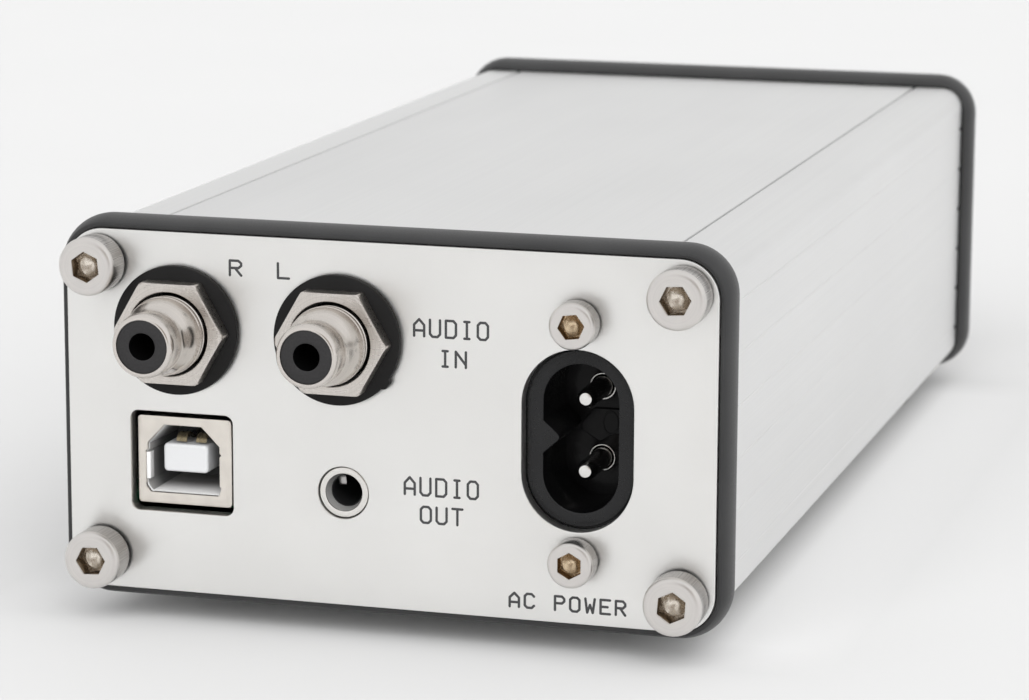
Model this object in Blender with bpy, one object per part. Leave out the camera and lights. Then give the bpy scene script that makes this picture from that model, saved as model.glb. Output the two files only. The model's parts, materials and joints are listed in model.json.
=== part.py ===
"""Desktop digital-to-analogue converter in a small extruded aluminium case.

Frame: metres, +Z up, origin on the table under the middle of the case.
The control panel (knob, button, lever) faces -Y; the connector panel, called rear, faces +Y.
All dimensions below are millimetres. Cross-sections are (x, z) points, placed at a given y.
"""
import math

import bmesh
import bpy
from mathutils import Matrix, Vector

MM = 0.001
PI = math.pi

# ---------------------------------------------------------------- driving dimensions
BODY_W, BODY_H, BODY_L, BODY_R = 79.2, 43.0, 160.0, 3.2   # extruded channel
CASE_Z = 26.1                                             # case centre height
OVERALL = 173.0                                           # panel face to panel face
REAR_Y = OVERALL / 2                                      # outer face of the rear panel
FRONT_Y = -REAR_Y                                         # outer face of the front panel
WALL = 2.0                                                # side wall and floor
GAP = 0.2                                                 # fitting gap
PANEL_W, PANEL_H, PANEL_T, PANEL_R = 79.4, 43.4, 2.0, 4.5
KNOB_OUT = 11.4                                           # knob and line inputs stand out the same
LEVER_TILT = 13.0                                         # degrees the lever leans up

# Places on the panels, (x, z) from the case centre
SCREW_X, SCREW_Z = 35.7, 17.8
CORNERS = [(x, z) for x in (SCREW_X, -SCREW_X) for z in (SCREW_Z, -SCREW_Z)]
LINE_INS = {"left": (5.7, 10.2), "right": (25.8, 10.2)}
USB_AT = (25.5, -6.0)
LINE_OUT_AT = (5.2, -8.2)
INLET_X, INLET_Z = INLET_AT = (-23.3, -0.1)
INLET_PITCH = 28.0                                        # between the inlet's two screws
INLET_SCREW_Z = (INLET_Z + INLET_PITCH / 2, INLET_Z - INLET_PITCH / 2)
BUTTON_AT = (-26.0, -5.0)
LED_AT = (-26.0, 6.5)
LEVER_AT = (-10.5, 0.0)
PHONES_AT = (3.5, 0.0)
KNOB_AT = (23.5, 0.0)

BOARD_TOP, BOARD_T = -11.5, 1.6                           # top face from the case centre
BOARD_Z = CASE_Z + BOARD_TOP                              # top face above the table

# ---------------------------------------------------------------- fresh scene
for old_object in list(bpy.data.objects):
    bpy.data.objects.remove(old_object, do_unlink=True)
for old_mesh in list(bpy.data.meshes):
    bpy.data.meshes.remove(old_mesh)
for old_material in list(bpy.data.materials):
    bpy.data.materials.remove(old_material)


def material(name, rgb, rough, metal=0.0):
    made = bpy.data.materials.new(name)
    made.use_nodes = True
    shader = made.node_tree.nodes["Principled BSDF"]
    shader.inputs["Base Color"].default_value = (*rgb, 1.0)
    shader.inputs["Roughness"].default_value = rough
    shader.inputs["Metallic"].default_value = metal
    made.diffuse_color = (*rgb, 1.0)
    return made


ALU = material("anodised_aluminium", rgb=(0.78, 0.78, 0.77), rough=0.42, metal=1.0)
PANEL = material("panel_aluminium", rgb=(0.82, 0.81, 0.79), rough=0.38, metal=1.0)
BEZEL = material("bezel_plastic", rgb=(0.035, 0.035, 0.036), rough=0.48)
STEEL = material("stainless_steel", rgb=(0.70, 0.68, 0.65), rough=0.28, metal=1.0)
NICKEL = material("nickel_plate", rgb=(0.72, 0.68, 0.64), rough=0.2, metal=1.0)
BLACK = material("black_plastic", rgb=(0.012, 0.012, 0.013), rough=0.3)
FIBRE = material("fibre_washer", rgb=(0.02, 0.02, 0.02), rough=0.6)
TIN = material("tinned_steel", rgb=(0.72, 0.70, 0.66), rough=0.3, metal=1.0)
WHITE = material("white_plastic", rgb=(0.80, 0.82, 0.84), rough=0.35)
GOLD = material("gold_contact", rgb=(0.83, 0.61, 0.28), rough=0.25, metal=1.0)
BOARD = material("circuit_board", rgb=(0.02, 0.16, 0.07), rough=0.35)
IRON = material("lamination_iron", rgb=(0.14, 0.14, 0.15), rough=0.5, metal=1.0)
TAPE = material("winding_tape", rgb=(0.75, 0.58, 0.08), rough=0.5)
SLEEVE = material("capacitor_sleeve", rgb=(0.02, 0.04, 0.12), rough=0.35)
EPOXY = material("chip_epoxy", rgb=(0.02, 0.02, 0.022), rough=0.5)
RUBBER = material("foot_rubber", rgb=(0.02, 0.02, 0.02), rough=0.8)
LENS = material("led_lens", rgb=(0.10, 0.35, 0.75), rough=0.15)


# ---------------------------------------------------------------- objects
def case_at(x, z, y=0.0):
    """Object origin from a panel place given about the case centre."""
    return (x, y, CASE_Z + z)


def place(name, data, at):
    made = bpy.data.objects.new(name, data)
    made.location = Vector(at) * MM
    bpy.context.scene.collection.objects.link(made)
    return made


def make(name, shape, mat, at=(0, 0, 0), smooth=30):
    """Object from a bmesh in millimetres about its origin; smooth is an angle, None for flat."""
    bmesh.ops.remove_doubles(shape, verts=shape.verts, dist=1e-5)
    bmesh.ops.recalc_face_normals(shape, faces=shape.faces)
    bmesh.ops.scale(shape, vec=(MM, MM, MM), verts=shape.verts)
    mesh = bpy.data.meshes.new(name)
    shape.to_mesh(mesh)
    shape.free()
    mesh.materials.append(mat)
    if smooth is not None:
        mesh.shade_smooth()
        mesh.set_sharp_from_angle(angle=math.radians(smooth))
    return place(name, mesh, at)


def copy(name, source, at, turn=0.0):
    """Second object on the same mesh, turned about Z."""
    place(name, source.data, at).rotation_euler = (0.0, 0.0, turn)


def cut(target, cutter, operation="DIFFERENCE"):
    modifier = target.modifiers.new("cut", "BOOLEAN")
    modifier.operation = operation
    modifier.object = cutter
    modifier.solver = "EXACT"
    cutter.hide_render = True
    cutter.display_type = "WIRE"


def pivot(name, at):
    empty = place(name, None, at)
    empty.empty_display_size = 0.01
    return empty


def ride(child, empty):
    """Parent without moving: the child keeps its world place."""
    child.parent = empty
    child.location = child.location - empty.location


# ---------------------------------------------------------------- outlines, (x, z) points
def arc(radius, start, sweep, steps, at=(0.0, 0.0)):
    angles = [start + sweep * i / steps for i in range(steps + 1)]
    return [(at[0] + radius * math.cos(angle), at[1] + radius * math.sin(angle))
            for angle in angles]


def circle(radius, steps, at=(0.0, 0.0), phase=0.0):
    return arc(radius, phase, 2 * PI, steps, at)[:-1]


def hexagon(across_flats, phase=0.0):
    return circle(across_flats / math.sqrt(3), 6, phase=phase)


def round_rect(half_w, half_h, radius, steps, at=(0.0, 0.0)):
    """Rounded rectangle, anticlockwise; always 4 * (steps + 1) points."""
    points = []
    for x_sign, z_sign, start in ((1, -1, -PI / 2), (1, 1, 0.0), (-1, 1, PI / 2), (-1, -1, PI)):
        centre = (at[0] + x_sign * (half_w - radius), at[1] + z_sign * (half_h - radius))
        points += arc(radius, start, PI / 2, steps, centre)
    return points


def with_half_turn(points):
    """Half an outline completed by the same points turned 180 degrees."""
    return points + [(-x, -z) for x, z in points]


def mirrored(half):
    """Half an outline completed across x = 0; points on the line stay single."""
    return half + [(-x, z) for x, z in reversed(half) if x]


def stadium(half_w, half_h, steps, at=(0.0, 0.0)):
    """Upright slot with round ends."""
    top = arc(half_w, 0.0, PI, steps, (0.0, half_h - half_w))
    return [(at[0] + x, at[1] + z) for x, z in with_half_turn(top)]


# ---------------------------------------------------------------- shapes
def pairs(items):
    """Each item with the next, round to the first."""
    return list(zip(items, items[1:] + items[:1]))


def loop(shape, points, y):
    verts = [shape.verts.new((x, y, z)) for x, z in points]
    for pair in pairs(verts):
        shape.edges.new(pair)
    return verts


def bridge(shape, first, second):
    for (start, end), (far_start, far_end) in zip(pairs(first), pairs(second)):
        shape.faces.new((start, end, far_end, far_start))


def fill(shape, *loops):
    """Flat face inside the outermost loop, around any others."""
    edges = [shape.edges.get(pair) for verts in loops for pair in pairs(verts)]
    bmesh.ops.triangle_fill(shape, use_beauty=True, use_dissolve=False, edges=edges,
                            normal=(0, 1, 0))


def skin(shape, sections):
    """Open skin bridged through sections (points, y); returns its loops."""
    loops = [loop(shape, points, y) for points, y in sections]
    for first, second in zip(loops, loops[1:]):
        bridge(shape, first, second)
    return loops


def tunnels(shape, outlines, y0, y1):
    """Straight walls along Y for each outline; returns the loops at y0 and those at y1."""
    walls = [skin(shape, [(points, y0), (points, y1)]) for points in outlines]
    return [wall[0] for wall in walls], [wall[1] for wall in walls]


def prism(outline, y0, y1, holes=()):
    """Straight extrusion along Y with through holes."""
    shape = bmesh.new()
    for loops in tunnels(shape, [outline, *holes], y0, y1):
        fill(shape, *loops)
    return shape


def solid(sections, base=0.0):
    """Closed skin through sections (points, y from base).

    Sections sharing a y are joined by a flat step, so the walk can go up a bore,
    across a face and down the outside.
    """
    shape = bmesh.new()
    loops = [loop(shape, points, base + y) for points, y in sections]
    for i in range(len(sections) - 1):
        if sections[i][1] == sections[i + 1][1]:
            fill(shape, loops[i], loops[i + 1])
        else:
            bridge(shape, loops[i], loops[i + 1])
    fill(shape, loops[0])
    fill(shape, loops[-1])
    return shape


def rounds(profile, steps):
    """Circular sections from (radius, y) points."""
    return [(circle(radius, steps), y) for radius, y in profile]


def spun(profile, steps, closed=False, base=0.0):
    """Solid of revolution about Y from (radius, y from base) points."""
    shape = bmesh.new()
    verts = [shape.verts.new((radius, base + y, 0.0)) for radius, y in profile]
    edges = [shape.edges.new(pair) for pair in zip(verts, verts[1:])]
    if closed:
        edges.append(shape.edges.new((verts[-1], verts[0])))
    bmesh.ops.spin(shape, geom=verts + edges, cent=(0, 0, 0), axis=(0, 1, 0), angle=2 * PI,
                   steps=steps, use_merge=True)
    return shape


def boxes(*bounds, bevel=0.0):
    """Boxes from (x0, x1, y0, y1, z0, z1) rows."""
    shape = bmesh.new()
    for x0, x1, y0, y1, z0, z1 in bounds:
        verts = bmesh.ops.create_cube(shape, size=1.0)["verts"]
        bmesh.ops.scale(shape, vec=(x1 - x0, y1 - y0, z1 - z0), verts=verts)
        centre = ((x0 + x1) / 2, (y0 + y1) / 2, (z0 + z1) / 2)
        bmesh.ops.translate(shape, vec=centre, verts=verts)
        if bevel:
            edges = list({edge for vert in verts for edge in vert.link_edges})
            bmesh.ops.bevel(shape, geom=edges, offset=bevel, segments=1, affect="EDGES",
                            profile=0.5)
    return shape


def turned(shape, angle, axis):
    bmesh.ops.rotate(shape, cent=(0, 0, 0), matrix=Matrix.Rotation(angle, 3, axis),
                     verts=shape.verts)
    return shape


def upright(shape):
    """Turns the shape's +Y to +Z."""
    return turned(shape, PI / 2, "X")


# ---------------------------------------------------------------- body and cover
COVER_W, COVER_T = 64.0, 2.0                              # slide-in top plate
SEAM = 0.35                                               # joint beside the plate
SLOT_X, SLOT_LOW = 33.0, 17.1                             # slot that holds the cover's edge
SLOT_TOP = BODY_H / 2 - COVER_T - 0.15
SLOT_FIT = 0.25                                           # cover edge to slot, above and below
RAIL_D = 1.6                                              # rails stand this far off the side wall
BLOCK_Z = -14.4                                           # top of the lower corner block
RIB_LOW, RIB_TOP = 4.4, 5.7
GROOVES = (15.3, 9.02, 2.74, -3.54, -9.82, -16.1)         # side grooves, z from the case centre
GROOVE_W, GROOVE_D = 0.55, 0.4
BODY_HOLE_R = 2.1


def body_outline():
    """Channel section: grooved sides, board guides, cover slots."""
    half_w, half_h, radius = BODY_W / 2, BODY_H / 2, BODY_R
    seam_x = COVER_W / 2 + SEAM
    wall_x = half_w - WALL
    rail_x = wall_x - RAIL_D
    ledge_z, guide_z = BOARD_TOP - BOARD_T - GAP, BOARD_TOP + GAP
    guide_top = BOARD_TOP + 1.5
    floor_z = -half_h + WALL
    half = [
        (0.0, floor_z), (31.4, floor_z), (31.4, -15.6), (32.6, BLOCK_Z),   # lower corner block
        (rail_x, BLOCK_Z), (rail_x, ledge_z), (wall_x, ledge_z),           # ledge under the board
        (wall_x, guide_z), (rail_x, guide_z),                              # guide over the board
        (rail_x, guide_top), (wall_x, guide_top),
        (wall_x, RIB_LOW), (rail_x, RIB_LOW), (rail_x, RIB_TOP), (wall_x, RIB_TOP),
        (wall_x, 13.7), (32.4, 13.7), (30.6, 15.1), (30.6, SLOT_LOW),      # upper corner block
        (SLOT_X, SLOT_LOW), (SLOT_X, SLOT_TOP), (seam_x, SLOT_TOP), (seam_x, half_h),
    ]
    half += arc(radius, PI / 2, -PI / 2, 6, (half_w - radius, half_h - radius))
    for z in GROOVES:
        half += [(half_w, z + GROOVE_W / 2), (half_w - GROOVE_D, z + GROOVE_W / 4),
                 (half_w - GROOVE_D, z - GROOVE_W / 4), (half_w, z - GROOVE_W / 2)]
    half += arc(radius, 0.0, -PI / 2, 6, (half_w - radius, -half_h + radius))
    half.append((0.0, -half_h))
    return mirrored(half)


def cover_outline():
    """Top plate with a thicker tongue under each edge that runs in the body's slot."""
    tongue_x = SLOT_X - GAP
    tongue_low, tongue_top = SLOT_LOW + SLOT_FIT, SLOT_TOP - SLOT_FIT
    return mirrored([(27.0, BODY_H / 2 - COVER_T), (28.0, tongue_low), (tongue_x, tongue_low),
                     (tongue_x, tongue_top), (COVER_W / 2, tongue_top), (COVER_W / 2, BODY_H / 2)])


make("body_extrusion",
     prism(body_outline(), -BODY_L / 2, BODY_L / 2, [circle(BODY_HOLE_R, 16, at) for at in CORNERS]),
     ALU, case_at(0, 0), smooth=20)
make("top_cover", prism(cover_outline(), -BODY_L / 2, BODY_L / 2), ALU, case_at(0, 0), smooth=20)

# ---------------------------------------------------------------- bezels
BEZEL_START, BEZEL_END = 0.5, 7.0                         # depths behind the panel face
WEB_START, WEB_END = 2.2, 6.3                             # web that the screws clamp
WEB_RING, WEB_OPENING_R = 3.4, 10.0                       # opening: inset from panel, corner radius
WEB_HOLE_R = 2.3
# Panel recess, front lip and convex rim: (growth beyond the panel outline, depth)
BEZEL_PROFILE = [
    (0.18, WEB_START), (0.18, BEZEL_START), (0.75, BEZEL_START), (1.0, BEZEL_START + 0.4),
    (1.36, 1.8), (1.48, 3.2), (1.36, 4.8), (1.0, 6.0), (0.7, 6.6), (0.48, BEZEL_END),
]


def bezel_shape():
    """Ring between the rear panel and the body, with a socket for each."""
    def grown(width, height, radius, growth):
        return round_rect(width / 2 + growth, height / 2 + growth, radius + growth, 6)

    sections = [(grown(PANEL_W, PANEL_H, PANEL_R, growth), REAR_Y - depth)
                for growth, depth in BEZEL_PROFILE]
    sections += [(grown(BODY_W, BODY_H, BODY_R, GAP), REAR_Y - depth)
                 for depth in (BEZEL_END, WEB_END)]
    openings = [round_rect(PANEL_W / 2 - WEB_RING, PANEL_H / 2 - WEB_RING, WEB_OPENING_R, 6)]
    openings += [circle(WEB_HOLE_R, 12, at) for at in CORNERS]
    shape = bmesh.new()
    outer = skin(shape, sections)
    start, end = tunnels(shape, openings, REAR_Y - WEB_START, REAR_Y - WEB_END)
    fill(shape, outer[0], *start)
    fill(shape, outer[-1], *end)
    return shape


make("rear_bezel", bezel_shape(), BEZEL, case_at(0, 0), smooth=25)
make("front_bezel", turned(bezel_shape(), PI, "Z"), BEZEL, case_at(0, 0), smooth=25)

# ---------------------------------------------------------------- panels
plate = round_rect(PANEL_W / 2, PANEL_H / 2, PANEL_R, 6)
screw_holes = [circle(2.25, 12, at) for at in CORNERS]
rear_holes = [circle(4.75, 20, at) for at in LINE_INS.values()] + [
    round_rect(6.5, 6.1, 1.0, 3, USB_AT),
    circle(3.15, 20, LINE_OUT_AT),
    stadium(6.7, 10.75, 10, INLET_AT),
] + [circle(1.7, 12, (INLET_X, z)) for z in INLET_SCREW_Z]
# Front holes: (radius, steps, place)
FRONT_HOLES = [(4.3, 20, BUTTON_AT), (3.75, 18, KNOB_AT), (3.25, 16, LEVER_AT),
               (4.75, 20, PHONES_AT), (1.7, 12, LED_AT)]
front_holes = [circle(radius, steps, at) for radius, steps, at in FRONT_HOLES]
make("rear_panel", prism(plate, REAR_Y - PANEL_T, REAR_Y, screw_holes + rear_holes),
     PANEL, case_at(0, 0))
make("front_panel", prism(plate, FRONT_Y, FRONT_Y + PANEL_T, screw_holes + front_holes),
     PANEL, case_at(0, 0))

# ---------------------------------------------------------------- feet
FOOT_X, FOOT_Y = 29.0, 66.0
FOOT_H = CASE_Z - BODY_H / 2 - GAP
FOOT_PROFILE = [(0, 0), (5.2, 0), (5.7, 0.5), (6.0, FOOT_H), (0, FOOT_H)]   # (radius, height)
foot = make("foot_1", upright(spun(FOOT_PROFILE, 20)), RUBBER, (FOOT_X, FOOT_Y, 0))
for i, (x, y) in enumerate(((-FOOT_X, FOOT_Y), (FOOT_X, -FOOT_Y), (-FOOT_X, -FOOT_Y)), 2):
    copy(f"foot_{i}", foot, (x, y, 0))


# ---------------------------------------------------------------- fasteners
def socket_screw(name, at, head_r, head_h, shank_r, length, key_flats, socket):
    """Socket head cap screw, head towards +Y, under-head face at y = 0."""
    profile = [
        (head_r - 0.35, head_h), (head_r - 0.1, head_h - 0.12), (head_r, head_h - 0.35),
        (head_r, 0.15), (head_r - 0.15, 0.0), (shank_r, 0.0),
        (shank_r, -length + 0.5), (shank_r - 0.45, -length),
    ]
    key = hexagon(key_flats, PI / 6)
    shape = bmesh.new()
    outside = skin(shape, rounds(profile, 18))
    mouth, bottom = skin(shape, [(key, head_h), (key, head_h - socket)])
    fill(shape, outside[0], mouth)
    fill(shape, outside[-1])
    tip = shape.verts.new((0, head_h - socket - 0.5, 0))    # the socket ends in a shallow cone
    for start, end in pairs(bottom):
        shape.faces.new((start, end, tip))
    return make(name, shape, STEEL, at)


rear_ats = [case_at(x, z, REAR_Y + GAP) for x, z in CORNERS]
case_screw = socket_screw("rear_screw_1", rear_ats[0], head_r=3.5, head_h=4.0, shank_r=1.75,
                          length=12.0, key_flats=3.0, socket=2.2)
for i, at in enumerate(rear_ats[1:], 2):
    copy(f"rear_screw_{i}", case_screw, at)
for i, (x, z) in enumerate(CORNERS, 1):
    copy(f"front_screw_{i}", case_screw, case_at(x, z, FRONT_Y - GAP), PI)

INLET_FLANGE_T = 2.2
FLANGE_Y = REAR_Y - PANEL_T - GAP                         # flange face against the panel
FLANGE_BACK_Y = FLANGE_Y - INLET_FLANGE_T
screw_ats = [case_at(INLET_X, z, REAR_Y + GAP) for z in INLET_SCREW_Z]
inlet_screw = socket_screw("inlet_screw_1", screw_ats[0], head_r=2.75, head_h=3.0, shank_r=1.3,
                           length=9.6, key_flats=2.5, socket=1.6)
copy("inlet_screw_2", inlet_screw, screw_ats[1])

nut_ats = [case_at(INLET_X, z, FLANGE_BACK_Y - GAP) for z in INLET_SCREW_Z]
inlet_nut = make("inlet_nut_1", prism(hexagon(5.5, PI / 6), -2.4, 0.0, [circle(1.55, 16)]),
                 STEEL, nut_ats[0])
copy("inlet_nut_2", inlet_nut, nut_ats[1])

# ---------------------------------------------------------------- mains inlet
INLET_Y = REAR_Y - 1.5                                    # socket face, inside the panel's hole
CAVITY_Y = INLET_Y - 10.0                                 # floor of the cavity
INLET_BACK_Y = CAVITY_Y - 3.0
PIN_PITCH = 8.6


def figure_eight(radius, pitch, waist):
    """Two round ends on +-pitch/2, drawn in to +-waist at the middle."""
    top = arc(radius, 0.0, PI, 10, (0.0, pitch / 2))
    return with_half_turn([(waist, 0.55), (radius, 1.6), *top, (-radius, 1.6), (-waist, 0.55)])


def inlet_shape():
    """Moulding with a boss through the panel, a flange behind it and a rear block."""
    boss = stadium(6.45, 10.5, 9)
    cavity = figure_eight(4.5, PIN_PITCH, 3.6)
    flange = stadium(7.2, 17.6, 9)
    pin_holes = [circle(1.35, 12, (0.0, z)) for z in (PIN_PITCH / 2, -PIN_PITCH / 2)]
    flange_holes = [circle(1.65, 12, (0.0, z)) for z in (INLET_PITCH / 2, -INLET_PITCH / 2)]
    shape = bmesh.new()
    face, boss_root = skin(shape, [(boss, INLET_Y), (boss, FLANGE_Y)])
    mouth, cavity_floor = skin(shape, [(cavity, INLET_Y), (cavity, CAVITY_Y)])
    outer_face, inner_face = skin(shape, [(flange, FLANGE_Y), (flange, FLANGE_BACK_Y)])
    block_root, block_end = skin(shape, [(stadium(6.3, 10.3, 9), FLANGE_BACK_Y),
                                         (stadium(6.1, 10.1, 9), INLET_BACK_Y)])
    screws_outer, screws_inner = tunnels(shape, flange_holes, FLANGE_Y, FLANGE_BACK_Y)
    pins_outer, pins_inner = tunnels(shape, pin_holes, CAVITY_Y, INLET_BACK_Y)
    fill(shape, face, mouth)
    fill(shape, cavity_floor, *pins_outer)
    fill(shape, outer_face, boss_root, *screws_outer)
    fill(shape, inner_face, block_root, *screws_inner)
    fill(shape, block_end, *pins_inner)
    return shape


make("mains_inlet", inlet_shape(), BLACK, case_at(*INLET_AT))

PIN_R, PIN_TIP, PIN_ROOT = 1.15, INLET_Y - 2.0, CAVITY_Y - 7.0
pin = make("inlet_pin_1",
           spun([(0, PIN_TIP), (0.55, PIN_TIP), (PIN_R, PIN_TIP - 0.7), (PIN_R, PIN_ROOT + 0.3),
                 (0.9, PIN_ROOT), (0, PIN_ROOT)], 16),
           NICKEL, case_at(INLET_X, INLET_Z + PIN_PITCH / 2))
copy("inlet_pin_2", pin, case_at(INLET_X, INLET_Z - PIN_PITCH / 2))

# ---------------------------------------------------------------- line inputs
# Profiles are (radius, y from the rear panel's face); tip is the shell's outer end.
tip = KNOB_OUT
WASHER_PROFILE = [(4.8, 0.1), (7.75, 0.1), (7.75, 0.8), (7.65, 0.9), (4.8, 0.9)]
SHELL_PROFILE = [                                         # front lip, neck, thread, collar, tail
    (3.35, tip), (3.75, tip), (4.1, tip - 0.3), (4.15, tip - 0.9), (4.1, tip - 1.6),
    (3.95, tip - 2.0), (3.95, tip - 4.6), (4.15, tip - 4.9), (4.35, tip - 5.4), (4.4, 3.3),
    (4.4, -2.6), (5.6, -2.6), (5.6, -4.2), (4.0, -4.2), (4.0, -9.0), (3.35, -9.0),
]
INSULATOR_PROFILE = [(1.65, tip - 0.15), (3.1, tip - 0.15), (3.15, tip - 0.3),
                     (3.15, -8.4), (1.65, -8.4)]
CONTACT_PROFILE = [                                       # tube closed at its tail
    (0, tip - 11.0), (1.1, tip - 11.0), (1.1, tip - 3.0), (1.4, tip - 3.0),
    (1.4, -12.5), (0, -12.5),
]
for side, place_xz in LINE_INS.items():
    at = case_at(*place_xz)
    prefix = f"line_in_{side}"
    make(f"{prefix}_washer", spun(WASHER_PROFILE, 24, closed=True, base=REAR_Y), FIBRE, at)
    make(f"{prefix}_nut", prism(hexagon(12.0), REAR_Y + 1.0, REAR_Y + 3.3, [circle(4.7, 18)]),
         NICKEL, at)
    make(f"{prefix}_shell", spun(SHELL_PROFILE, 20, closed=True, base=REAR_Y), NICKEL, at)
    make(f"{prefix}_insulator", spun(INSULATOR_PROFILE, 18, closed=True, base=REAR_Y), BLACK, at)
    make(f"{prefix}_contact", spun(CONTACT_PROFILE, 16, base=REAR_Y), NICKEL, at)

# ---------------------------------------------------------------- USB socket
USB_Y = REAR_Y - 1.0                                      # face of the shell
TONGUE_ROOT = -8.6                                        # y from the shell's face


def usb_opening(inset=0.0):
    """Square opening with its two upper corners cut off."""
    half_w, half_h, chamfer = 4.22 - inset, 3.9 - inset, 1.9
    return mirrored([(half_w, -half_h), (half_w, half_h - chamfer), (half_w - chamfer, half_h)])


usb_outer = round_rect(5.95, 5.35, 0.5, 3)
make("usb_shell",
     solid([(usb_opening(), -14.0), (usb_opening(), 0.0), (usb_outer, 0.0), (usb_outer, -15.5)],
           base=USB_Y),
     TIN, case_at(*USB_AT))

tongue = round_rect(2.8, 1.6, 0.25, 2, (0, 0.1))           # tongue and back block in one
make("usb_insulator",
     solid([(tongue, -0.9), (tongue, TONGUE_ROOT),
            (usb_opening(GAP), TONGUE_ROOT), (usb_opening(GAP), -13.8)], base=USB_Y),
     WHITE, case_at(*USB_AT))

# Flat comb above the tongue: (x, y from the comb's inner edge)
COMB = mirrored([(2.2, 0.0), (2.2, 6.4), (0.9, 6.4), (0.9, 1.0)])
COMB_Y, COMB_LOW, COMB_TOP = USB_Y - 8.4, 1.95, 2.2
comb_shape = bmesh.new()
comb_low, comb_top = [[comb_shape.verts.new((x, COMB_Y + y, z)) for x, y in COMB]
                      for z in (COMB_LOW, COMB_TOP)]
comb_shape.faces.new(comb_low)
comb_shape.faces.new(comb_top[::-1])
bridge(comb_shape, comb_low, comb_top)
make("usb_contacts", comb_shape, GOLD, case_at(*USB_AT), smooth=None)

# ---------------------------------------------------------------- line output
LINE_OUT_Y = REAR_Y - 0.3                                 # face of the ring
RING_PROFILE = [(2.15, -0.5), (2.5, 0.0), (2.85, 0.0), (2.95, -0.15), (2.95, -3.2), (2.15, -3.2)]
make("line_out_ring", spun(RING_PROFILE, 20, closed=True, base=LINE_OUT_Y),
     TIN, case_at(*LINE_OUT_AT))
jack_block = round_rect(5.0, 2.95, 0.4, 2)
make("line_out_jack",
     solid(rounds([(1.85, -13.5), (1.85, -3.4)], 20) + [(jack_block, -3.4), (jack_block, -15.0)],
           base=LINE_OUT_Y),
     BLACK, case_at(*LINE_OUT_AT))

# ---------------------------------------------------------------- main board
BOARD_X = 37.2                                            # half width
NOTCH_X = 9.0                                             # half width of the notch
board = make("main_board", boxes((-BOARD_X, BOARD_X, -77.0, 78.5, BOARD_Z - BOARD_T, BOARD_Z)),
             BOARD, smooth=None)
# notch that clears the mains inlet
notch = make("board_notch_cutter",
             boxes((INLET_X - NOTCH_X, INLET_X + NOTCH_X, 70.0, 90.0,
                    BOARD_Z - 5.0, BOARD_Z + 5.0)),
             BOARD, smooth=None)
cut(board, notch)

# transformer: the laminated core is a frame around the winding's middle leg
TRANSFORMER_AT = (-14.0, 22.0, BOARD_Z + 13.2)
windows = [round_rect(3.0, 8.2, 0.3, 1, (x, 0)) for x in (8.6, -8.6)]
make("transformer_core", prism(round_rect(17.0, 12.5, 0.3, 1), -8.5, 8.5, windows),
     IRON, TRANSFORMER_AT, smooth=None)
make("transformer_winding",
     upright(prism(round_rect(11.3, 13.2, 2.5, 4), -7.8, 7.8, [round_rect(5.85, 8.9, 0.3, 4)])),
     TAPE, TRANSFORMER_AT)

# enclosed fuse holder, its round cap towards +Y
holder = round_rect(4.6, 4.6, 0.5, 4)
make("mains_fuse_holder",
     solid(rounds([(3.6, 15.0), (3.6, 11.5), (4.3, 11.5), (4.3, 10.2)], 20)
           + [(holder, 10.2), (holder, -12.0)]),
     BLACK, (-30.0, 45.0, BOARD_Z + 4.8))

# capacitor: an upright can with a groove near its foot
CAN_R, CAN_H = 8.0, 25.0
CAN_PROFILE = [                                           # (radius, height)
    (0, 0.2), (CAN_R - 0.2, 0.2), (CAN_R, 0.5), (CAN_R, 1.6), (CAN_R - 0.35, 2.0),
    (CAN_R, 2.4), (CAN_R, CAN_H - 0.6), (CAN_R - 0.6, CAN_H), (0, CAN_H),
]
make("filter_capacitor", upright(spun(CAN_PROFILE, 20)), SLEEVE, (-19.0, -8.0, BOARD_Z))

CHIP_LIFT = 0.2                                           # packages float this far off the board
CHIPS = [                                                 # name, x size, y size, height, x, y
    ("converter_chip", 7.6, 10.2, 2.1, 19.0, 14.0),
    ("usb_chip", 7.0, 7.0, 1.4, 25.5, 42.0),
    ("output_amplifier", 6.0, 5.0, 1.7, 10.0, -14.0),
]
for name, width, depth, height, x, y in CHIPS:
    package = (-width / 2, width / 2, -depth / 2, depth / 2, CHIP_LIFT, height + CHIP_LIFT)
    make(name, boxes(package, bevel=0.12), EPOXY, (x, y, BOARD_Z), smooth=None)

# regulator: body joined to a tall tab on its +Y face and a flat strip down to the board
REGULATOR_AT = (-29.5, -30.0, BOARD_Z)
regulator = make("voltage_regulator", boxes((-5.0, 5.0, -2.2, 2.2, 3.5, 12.5), bevel=0.2),
                 EPOXY, REGULATOR_AT, smooth=None)
tab = make("regulator_tab_former",
           boxes((-5.0, 5.0, 1.0, 2.2, 3.6, 18.5), (-4.2, 4.2, -0.4, 0.4, 0.3, 3.9)),
           EPOXY, REGULATOR_AT, smooth=None)
cut(regulator, tab, "UNION")

# ---------------------------------------------------------------- volume knob
# From here on y values are measured from the front panel's face, negative outwards.
KNOB_R, KNURL_D, KNURL_STEPS = 11.5, 0.35, 36
KNOB_FACE = -KNOB_OUT


def knurled():
    """Knob outline with every second point drawn in."""
    points = []
    for i in range(KNURL_STEPS):
        radius = KNOB_R - (KNURL_D if i % 2 else 0.0)
        angle = 2 * PI * i / KNURL_STEPS
        points.append((radius * math.cos(angle), radius * math.sin(angle)))
    return points


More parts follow.
